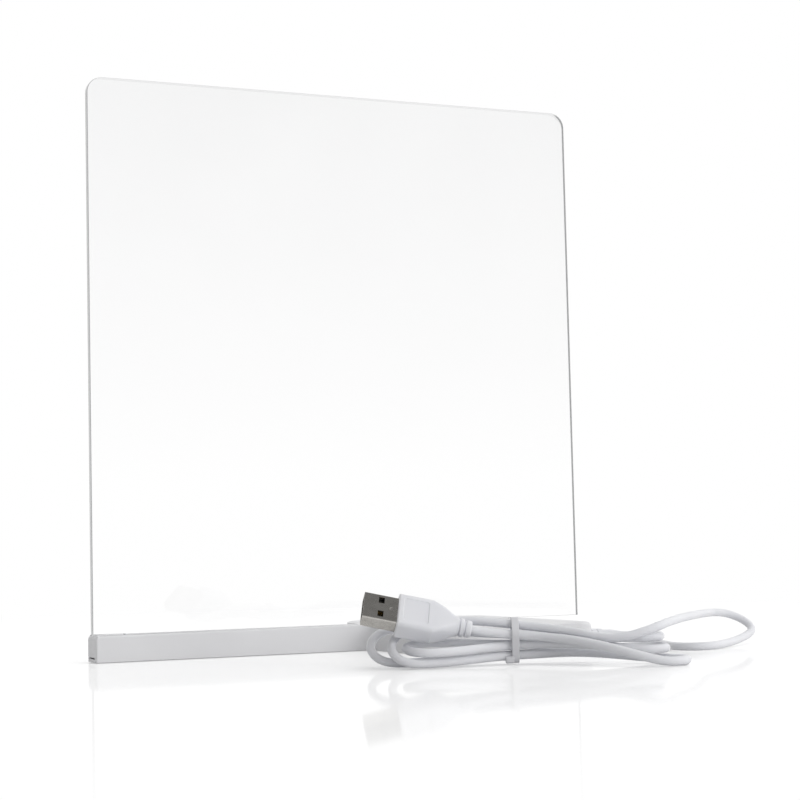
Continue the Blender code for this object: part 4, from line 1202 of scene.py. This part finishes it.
@dataclass
class Relief:
    """The tapered strain relief where the cord leaves the base.

    Attributes:
        flange: Its profile in the wall, as (along, radius).
        grip: By how much its bore's radius is less than the cord's.
        hidden_steps: How many of the profile's steps the flange takes the place of.
    """

    lead: Lead
    wall_x: float = 0.077
    root: float = 0.0024
    tip: float = 0.0019
    groove: float = 0.0004
    grooves: int = 3
    soft: float = 0.0004
    flange: tuple[Pair, ...] = ((-0.0034, 0.0023), (-0.0022, 0.0023), (-0.0022, 0.0020), (0.0002, 0.0020))
    grip: float = 0.0002
    slope: float = 1.6
    steps: int = 240
    hidden_steps: int = 6
    sides: int = 36

    def make(self) -> bpy.types.Object:
        """The relief: a taper with ring grooves and a round end, turned about the cord."""
        length = self.lead.relief_tip - self.wall_x
        bore = self.lead.diameter / 2 - self.grip
        along = np.linspace(0.0, length, self.steps + 1)
        radius = self.root + (self.tip - self.root) * along / length
        for number in range(1, self.grooves + 1):
            middle = length * number / (self.grooves + 1)
            radius -= self.groove * ring_groove(along, middle, self.groove, self.slope)
        radius -= end_round(along - length + self.soft, self.soft)
        outer = np.column_stack([along, radius])[self.hidden_steps :]
        inner = [(self.flange[0][0], bore), *self.flange, (self.flange[-1][0], self.root)]
        profile = np.concatenate([inner, outer, [(length, bore)]])
        rows = about_x(profile, self.sides) + (self.wall_x, self.lead.exit_y, self.lead.exit_z)
        return Shape.solid(rows).made("cord_relief")

    def build(self, dresser: Dresser) -> None:
        """Makes and dresses the strain relief."""
        dresser.piece(self.make(), CORD_WHITE, ("strain_relief",))


@dataclass
class Tie:
    """The tie round the hank's waist: a flat strap with its knot at the lower front.

    Attributes:
        knot: The knot's length along the hank, its depth and its height.
        knot_swell: The least cosine that counts for the knot's size, and the power that it is raised to.
    """

    lead: Lead
    thickness: float = 0.0006
    width: float = 0.0024
    clearance: float = 0.0004
    knot: Triple = (0.0030, 0.0014, 0.0024)
    knot_round: float = 0.0006
    corner_steps: int = 5
    knot_steps: int = 12
    knot_swell: Pair = (0.35, 0.4)
    strap_round: float = 0.0002
    strap_steps: int = 3
    bend_steps: int = 10

    def corners(self) -> list[Array]:
        """The strands that the strap bends round, in order, by turning round their outermost places."""
        places = sorted(map(tuple, self.lead.strands(0.0)))
        corners: list[Array] = []
        for line in (places, places[::-1]):
            side: list[Array] = []
            for place in map(np.array, line):
                while len(side) > 1 and self.turns_right(side[-2], side[-1], place):
                    side.pop()
                side.append(place)
            corners += side[:-1]
        return corners

    @staticmethod
    def turns_right(a: Array, b: Array, c: Array) -> bool:
        """Whether the way from a by b to c turns right."""
        first, second = b - a, c - b
        return bool(first[0] * second[1] <= first[1] * second[0])

    def belt(self, radius: float) -> Array:
        """The outline of a band drawn tight round circles at the corners."""
        corners = self.corners()
        parts = []
        for number, place in enumerate(corners):
            before, after = place - corners[number - 1], corners[(number + 1) % len(corners)] - place
            first = math.degrees(math.atan2(-before[0], before[1]))
            last = math.degrees(math.atan2(-after[0], after[1]))
            last += 360.0 * (last < first)
            parts.append(arc(tuple(place), radius, first, last, self.bend_steps))
        return np.concatenate(parts)

    def make(self) -> bpy.types.Object:
        """The strap: a rounded section of (thickness, width) carried round the belt."""
        inner = self.lead.diameter / 2 + self.clearance
        section = round_rectangle(self.thickness / 2, self.width / 2, self.strap_round, self.strap_steps)
        rows = []
        for outward, along in section:
            ring = self.belt(inner + self.thickness / 2 + outward)
            rows.append(np.column_stack([np.full(len(ring), along), ring]))
        shape = Shape()
        shape.band(self.lead.in_world(np.stack([*rows, rows[0]])))
        return shape.made("cord_tie")

    def head(self) -> bpy.types.Object:
        """The strap's knot: a rounded lump at its lower front, full in the middle and less at both ends."""
        corners = self.corners()
        place = max(corners, key=lambda corner: corner[0] - corner[1])
        inner = self.lead.diameter / 2 + self.clearance
        long, deep, tall = self.knot
        low = max(place[1] - inner + tall / 4, tall / 2 + self.clearance)
        middle = np.array([-self.width / 2 - long / 4, place[0] + inner + self.thickness / 2, low])
        outline = round_rectangle(long / 2, tall / 2, self.knot_round, self.corner_steps)
        rows = []
        least, power = self.knot_swell
        for turn in np.linspace(-0.5, 0.5, self.knot_steps + 1) * np.pi:
            swell = np.maximum(np.cos(turn), least) ** power
            across = np.full(len(outline), math.sin(turn) * deep / 2)
            rows.append(np.column_stack([outline[:, 0] * swell, across, outline[:, 1] * swell]) + middle)
        return Shape.solid(self.lead.in_world(np.stack(rows))).made("tie_knot")

    def build(self, dresser: Dresser) -> list[bpy.types.Object]:
        """Makes and dresses the tie, and returns its pieces."""
        strap = dresser.piece(self.make(), TIE_WHITE, ("tie",))
        knot = dresser.piece(self.head(), TIE_WHITE, ())
        return [strap, knot]


@dataclass
class Plug:
    """The plug: soft overmould with a ringed boot, plated shell, tongue and contacts.

    Attributes:
        taper_start: How far from the front edge the body is straight before it narrows.
        grooves: The middles of the boot's ring grooves, as shares of its length.
        panel: The panel's length, width and depth. panel_slope is its size at the floor, face and above.
        window: A window's length and width.
        punch: The dimple's distance from the tip, its radius and its depth.
        body_start: Which share of the way to the straight body the flare's first ring is at.
        bulge: How much of the widening goes with a smooth step. The rest is even.
    """

    lead: Lead
    length: float = 0.0249
    width: float = 0.0151
    thickness: float = 0.0070
    corner: float = 0.0014
    corner_share: float = 0.999
    corner_steps: int = 8
    taper_start: float = 0.0115
    boot: float = 0.0049
    boot_tip: float = 0.0027
    boot_root: float = 0.0032
    grooves: Pair = (0.45, 0.84)
    groove: float = 0.0005
    groove_depth: float = 0.0006
    panel: Triple = (0.0085, 0.0105, 0.00025)
    shell_width: float = 0.0120
    shell_thickness: float = 0.0045
    shell_wall: float = 0.0003
    shell_round: float = 0.0006
    shell_lip: float = 0.0001
    shell_length: float = 0.0130
    shell_shown: float = 0.0113
    window: Pair = (0.0019, 0.0027)
    window_spread: float = 0.0064
    window_from_tip: float = 0.0058
    punch: Triple = (0.0094, 0.0009, 0.00024)
    front_round: float = 0.0006
    boot_round: float = 0.0005
    boot_steps: int = 98
    slope: float = 1.5
    body_steps: int = 23
    body_start: float = 0.04
    bulge: float = 0.08
    thick_ease: float = 1.2
    corner_ease: float = 1.5
    front_steps: int = 6
    panel_round: float = 0.0008
    panel_back: float = 0.0005
    panel_slope: Triple = (0.95, 1.01, 1.03)
    pocket_play: float = 0.0003
    sides: int = 24
    fit: float = 0.0001
    seam: float = 0.00006

    def frame(self) -> Matrix:
        """The plug's own frame: X from the boot to the tip, Z out of the face that shows."""
        roll = math.radians(self.lead.roll)
        ahead = self.lead.plug_direction() * (1.0, -1.0, 1.0)
        face = np.array([0.0, -math.cos(roll), math.sin(roll)])
        face = unit(face - ahead * (face @ ahead))
        turn = Matrix(np.column_stack([ahead, np.cross(face, ahead), face]).tolist()).to_4x4()
        start = self.lead.plug_end() * (1.0, -1.0, 1.0)
        return self.lead.frame() @ Matrix.Translation(start) @ turn

    def section(
        self, along: float, half_width: float, half_thickness: float, radius: float, inset: float = 0.0
    ) -> Array:
        """A section across the plug's axis.

        Args:
            along: Its place on the axis.
            half_width: Half its width.
            half_thickness: Half its thickness.
            radius: Its corners' radius, taken a little smaller so that no side loses all its length.
            inset: What comes off these three sizes.

        Returns:
            Its points.
        """
        bend = (radius - inset) * self.corner_share
        flat = round_rectangle(half_width - inset, half_thickness - inset, bend, self.corner_steps)
        return np.column_stack([np.full(len(flat), along), flat])

    def boot_rings(self) -> list[Array]:
        """The boot's rings: a widening round bar with a round end and two ring grooves."""
        along = np.linspace(0.0, self.boot, self.boot_steps + 1)
        radius = self.boot_tip + (self.boot_root - self.boot_tip) * along / self.boot
        for share in self.grooves:
            radius -= self.groove_depth * ring_groove(along, self.boot * share, self.groove, self.slope)
        radius -= end_round(self.boot_round - along, self.boot_round)
        return [self.section(x, r, r, r) for x, r in zip(along, radius)]

    def body_rings(self) -> list[Array]:
        """The body's rings: a flare from the boot to the flat body, and a round front edge."""
        start, root = self.length - self.taper_start, self.boot_root
        half_width, half_thickness = self.width / 2, self.thickness / 2
        rings = []
        for share in np.linspace(self.body_start, 1.0, self.body_steps + 1):
            along = self.boot + (start - self.boot) * share
            widened = (1.0 - self.bulge) * share + self.bulge * smoothstep(share)
            wide = root + (half_width - root) * widened
            thick = root + (half_thickness - root) * smoothstep(share * self.thick_ease)
            radius = root + (self.corner - root) * smoothstep(share * self.corner_ease)
            rings.append(self.section(along, wide, thick, radius))
        soft = self.front_round
        for off, back in quarter(self.front_steps):
            along = self.length - soft * back
            rings.append(self.section(along, half_width, half_thickness, self.corner, soft * off))
        return rings

    def overmould(self) -> bpy.types.Object:
        """The overmould, with a shallow panel in each broad face and a pocket for the shell."""
        made = Shape.solid(np.stack(self.boot_rings() + self.body_rings())).made("plug_body")
        long, wide, deep = self.panel
        middle, face = self.length - (self.taper_start + self.panel_back) / 2, self.thickness / 2
        outline = round_rectangle(long / 2, wide / 2, self.panel_round)
        slopes = tuple(zip(self.panel_slope, (face - deep, face, face + self.fit)))
        tools = []
        for side in (1, -1):
            rows = [on_plane(outline * scale + (middle, 0.0), side * level) for scale, level in slopes]
            tools.append(Shape.solid(np.stack(rows)))
        y, z = self.shell_width / 2 + self.fit, self.shell_thickness / 2 + self.fit
        depth = self.shell_length - self.shell_shown + self.pocket_play
        tools.append(block((self.length - depth, -y, -z), (self.length + PAST, y, z)))
        return self.settled(cut(made, tools))

    def settled(self, made: bpy.types.Object) -> bpy.types.Object:
        """A piece, its mesh moved from the plug's own frame to its place."""
        made.data.transform(self.frame())
        return made

    def shell(self) -> bpy.types.Object:
        """The plated shell: a folded tube with two windows and a dimple in each broad face, and a seam."""
        tip = self.length + self.shell_shown
        root = tip - self.shell_length
        half_y, half_z = self.shell_width / 2, self.shell_thickness / 2
        wall, lip = self.shell_wall, self.shell_lip
        outside = ((root, 0.0), (tip - lip, 0.0), (tip, lip))
        inside = ((tip, wall - lip), (tip - lip, wall), (root, wall))
        shape = Shape()
        rows = [
            self.section(x, half_y, half_z, self.shell_round, inset)
            for x, inset in (inside[-1], *outside, *inside)
        ]
        shape.band(np.stack(rows))
        long, wide = self.window[0] / 2, self.window[1] / 2
        x, high = tip - self.window_from_tip, half_z + PAST
        tools = [
            block((x - long, y - wide, -high), (x + long, y + wide, high))
            for y in (-self.window_spread / 2, self.window_spread / 2)
        ]
        from_tip, half, deep = self.punch
        profile = np.concatenate([cap(half, deep, -deep), [(PAST, half)]])
        for side in (1, -1):
            outward = Matrix.Rotation(-side * math.pi / 2, 4, "Y")
            place = Matrix.Translation((tip - from_tip, 0.0, side * half_z)) @ outward
            tools.append(Shape.solid(placed(about_x(profile, self.sides), place)))
        low = (root - PAST, -self.seam, -high)
        tools.append(block(low, (tip + PAST, self.seam, -half_z + wall * 0.5)))
        return self.settled(cut(shape.made("plug_can"), tools))

    def build(self, dresser: Dresser) -> list[bpy.types.Object]:
        """Makes and dresses the plug's pieces, and returns them."""
        body = dresser.piece(self.overmould(), CORD_WHITE, ("plug_overmould",))
        can = dresser.piece(self.shell(), PLATED, ("plug_shell",))
        contacts = [f"plug_contact_{number}" for number in CONTACTS]
        dresser.node("plug_tongue", INSULATOR_BLACK)
        for name in contacts:
            dresser.node(name, GOLD)
        return [body, can, *(dresser.frame["nodes"][name] for name in ("plug_tongue", *contacts))]


@dataclass(frozen=True)
class Lamp:
    """A square soft light that faces a target and that gloss doesn't show, with its side and its watts."""

    name: str
    place: Triple
    target: Triple
    side: float
    power: float

    def build(self) -> None:
        """Puts the light into the scene."""
        light = bpy.data.lights.new(self.name, "AREA")
        light.shape = "SQUARE"
        light.size = self.side
        light.energy = self.power
        made = in_scene(self.name, light)
        made.location = self.place
        made.rotation_euler = (Vector(self.target) - Vector(self.place)).to_track_quat("-Z", "Y").to_euler()
        made.visible_glossy = False


@dataclass
class Studio:
    """Camera, lights, floor and surroundings.

    Attributes:
        focal: The camera's focal length, in pixels of a picture as wide as frame_width.
        yaw: The camera's turn to the right of +Y, in degrees, with its pitch up and its roll.
        side_light: The world's light from the left and from the right.
        dusk: Between which heights of the way up gloss meets less and less white, down to the zenith's.
        floor_glow: The floor's own light, to the camera and in gloss.
        floor_fade: Between which distances from the middle the floor turns plain white.
    """

    focal: float = 1908.4
    frame_width: float = 800.0
    sensor: float = 36.0
    nearest: float = 0.01
    yaw: float = 24.275
    pitch: float = 4.214
    roll: float = -1.316
    place: Triple = (-0.28144, -0.67064, 0.04094)
    shift: Pair = (-1.1 / 800.0, 1.3 / 800.0)
    side_light: Pair = (0.15, 1.2)
    dusk: Pair = (0.35, 0.85)
    zenith: float = 0.28
    floor_half: float = 3.0
    floor_depth: float = 0.00002
    floor_albedo: float = 0.8
    floor_glow: float = 0.36
    floor_gloss: float = 0.32
    floor_roughness: float = 0.06
    floor_fade: Pair = (0.2, 0.5)
    lamps: tuple[Lamp, ...] = (
        Lamp("overhead", (0.05, 0.05, 1.6), (0.0, 0.0, 0.0), 1.2, 5.0),
        Lamp("front_right", (0.7, -1.7, 0.46), (0.0, 0.0, 0.02), 0.85, 8.0),
    )

    def camera(self) -> None:
        """The photograph's camera: its axes from the yaw, the pitch and the roll."""
        yaw, pitch, roll = map(math.radians, (self.yaw, self.pitch, self.roll))
        ahead = Vector((math.sin(yaw) * math.cos(pitch), math.cos(yaw) * math.cos(pitch), math.sin(pitch)))
        level = Vector((math.cos(yaw), -math.sin(yaw), 0.0))
        upright = level.cross(ahead)
        right = level * math.cos(roll) + upright * math.sin(roll)
        up = upright * math.cos(roll) - level * math.sin(roll)
        lens = bpy.data.cameras.new("camera")
        lens.sensor_width = self.sensor
        lens.lens = self.focal / self.frame_width * self.sensor
        lens.shift_x, lens.shift_y = self.shift
        lens.clip_start = self.nearest
        made = in_scene("camera", lens)
        turn = Matrix((right, up, -ahead)).transposed().to_4x4()
        made.matrix_world = Matrix.Translation(self.place) @ turn
        bpy.context.scene.camera = made

    def surroundings(self) -> None:
        """The world: white to the camera, darker above in gloss, and a soft light, most from the right."""
        world = bpy.data.worlds.new("studio")
        bpy.context.scene.world = world
        wiring = Wiring(world)
        way = wiring.node("SeparateXYZ", {"Vector": wiring.where["Generated"]}).outputs
        path = wiring.node("LightPath").outputs
        light = wiring.ranged(way["X"], (-1.0, 1.0), self.side_light)
        above = wiring.ranged(way["Z"], self.dusk, (1.0, self.zenith))
        tone = wiring.maths("MAXIMUM", above, path["Is Camera Ray"])
        shown = wiring.maths("MAXIMUM", path["Is Glossy Ray"], path["Is Transmission Ray"])
        either = wiring.maths("MAXIMUM", shown, path["Is Camera Ray"])
        lit, seen = (
            wiring.node("Background", {"Color": WHITE, "Strength": strength}) for strength in (light, tone)
        )
        wiring.done(wiring.mixed(either, lit, seen))

    def paper(self) -> bpy.types.Material:
        """The floor's material: matt with some gloss near the object, white to the camera farther off."""
        wiring = Wiring.of_material("floor_paper")
        path = wiring.node("LightPath").outputs
        seen = wiring.maths("MAXIMUM", path["Is Camera Ray"], path["Is Glossy Ray"])
        matt = wiring.node("BsdfDiffuse", {"Color": (self.floor_albedo,) * 3 + (1.0,)})
        glow = wiring.node("Emission", {"Strength": wiring.maths("MULTIPLY", seen, self.floor_glow)})
        both = wiring.node("AddShader", {0: matt.outputs[0], 1: glow.outputs[0]})
        sheen = wiring.node("BsdfGlossy", {"Color": WHITE, "Roughness": self.floor_roughness})
        near = wiring.mixed(self.floor_gloss, both, sheen)
        away = wiring.node("VectorMath", {0: wiring.where["Object"]}, operation="LENGTH").outputs["Value"]
        fade = wiring.ranged(away, self.floor_fade, (0.0, 1.0), interpolation_type="SMOOTHSTEP")
        white = wiring.node("Emission", {"Strength": 1.0})
        return wiring.done(wiring.mixed(wiring.maths("MULTIPLY", fade, seen), near, white))

    def floor(self) -> None:
        """A pale floor that keeps the shadows."""
        half, level = self.floor_half, -self.floor_depth
        mesh = bpy.data.meshes.new("floor")
        ends = [(-half, -half, level), (half, -half, level), (half, half, level), (-half, half, level)]
        mesh.from_pydata(ends, [], [(0, 1, 2, 3)])
        mesh.materials.append(self.paper())
        in_scene("floor", mesh)

    def build(self) -> None:
        """Makes the studio."""
        self.camera()
        self.surroundings()
        self.floor()
        for lamp in self.lamps:
            lamp.build()
        bpy.context.scene.view_settings.view_transform = "Standard"


def corners(box: tuple[Vector, Vector]) -> list[list[float]]:
    """A box's two corners as plain lists."""
    return [list(corner) for corner in box]


def main() -> None:
    """Builds the scene: studio and cord first, then the plate, the base and the plug."""
    logging.basicConfig(level=logging.INFO)
    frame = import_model()
    dresser = Dresser(frame)
    Studio().build()
    lead = Lead()
    cord = dresser.piece(lead.make(), CORD_WHITE, ("cord", "cord_hank"))
    on_cord = Tie(lead).build(dresser) + Plug(lead).build(dresser)
    points = lead.line()
    length = float(np.linalg.norm(np.diff(points, axis=0), axis=1).sum())
    LOG.info("the cord is %.3f m long", length)
    Relief(lead).build(dresser)
    ClearPlate().build(dresser)
    housing = Housing()
    housing.build(dresser)
    Underside(housing).build(dresser)
    Inside().build(dresser)


if __name__ == "__main__":
    main()
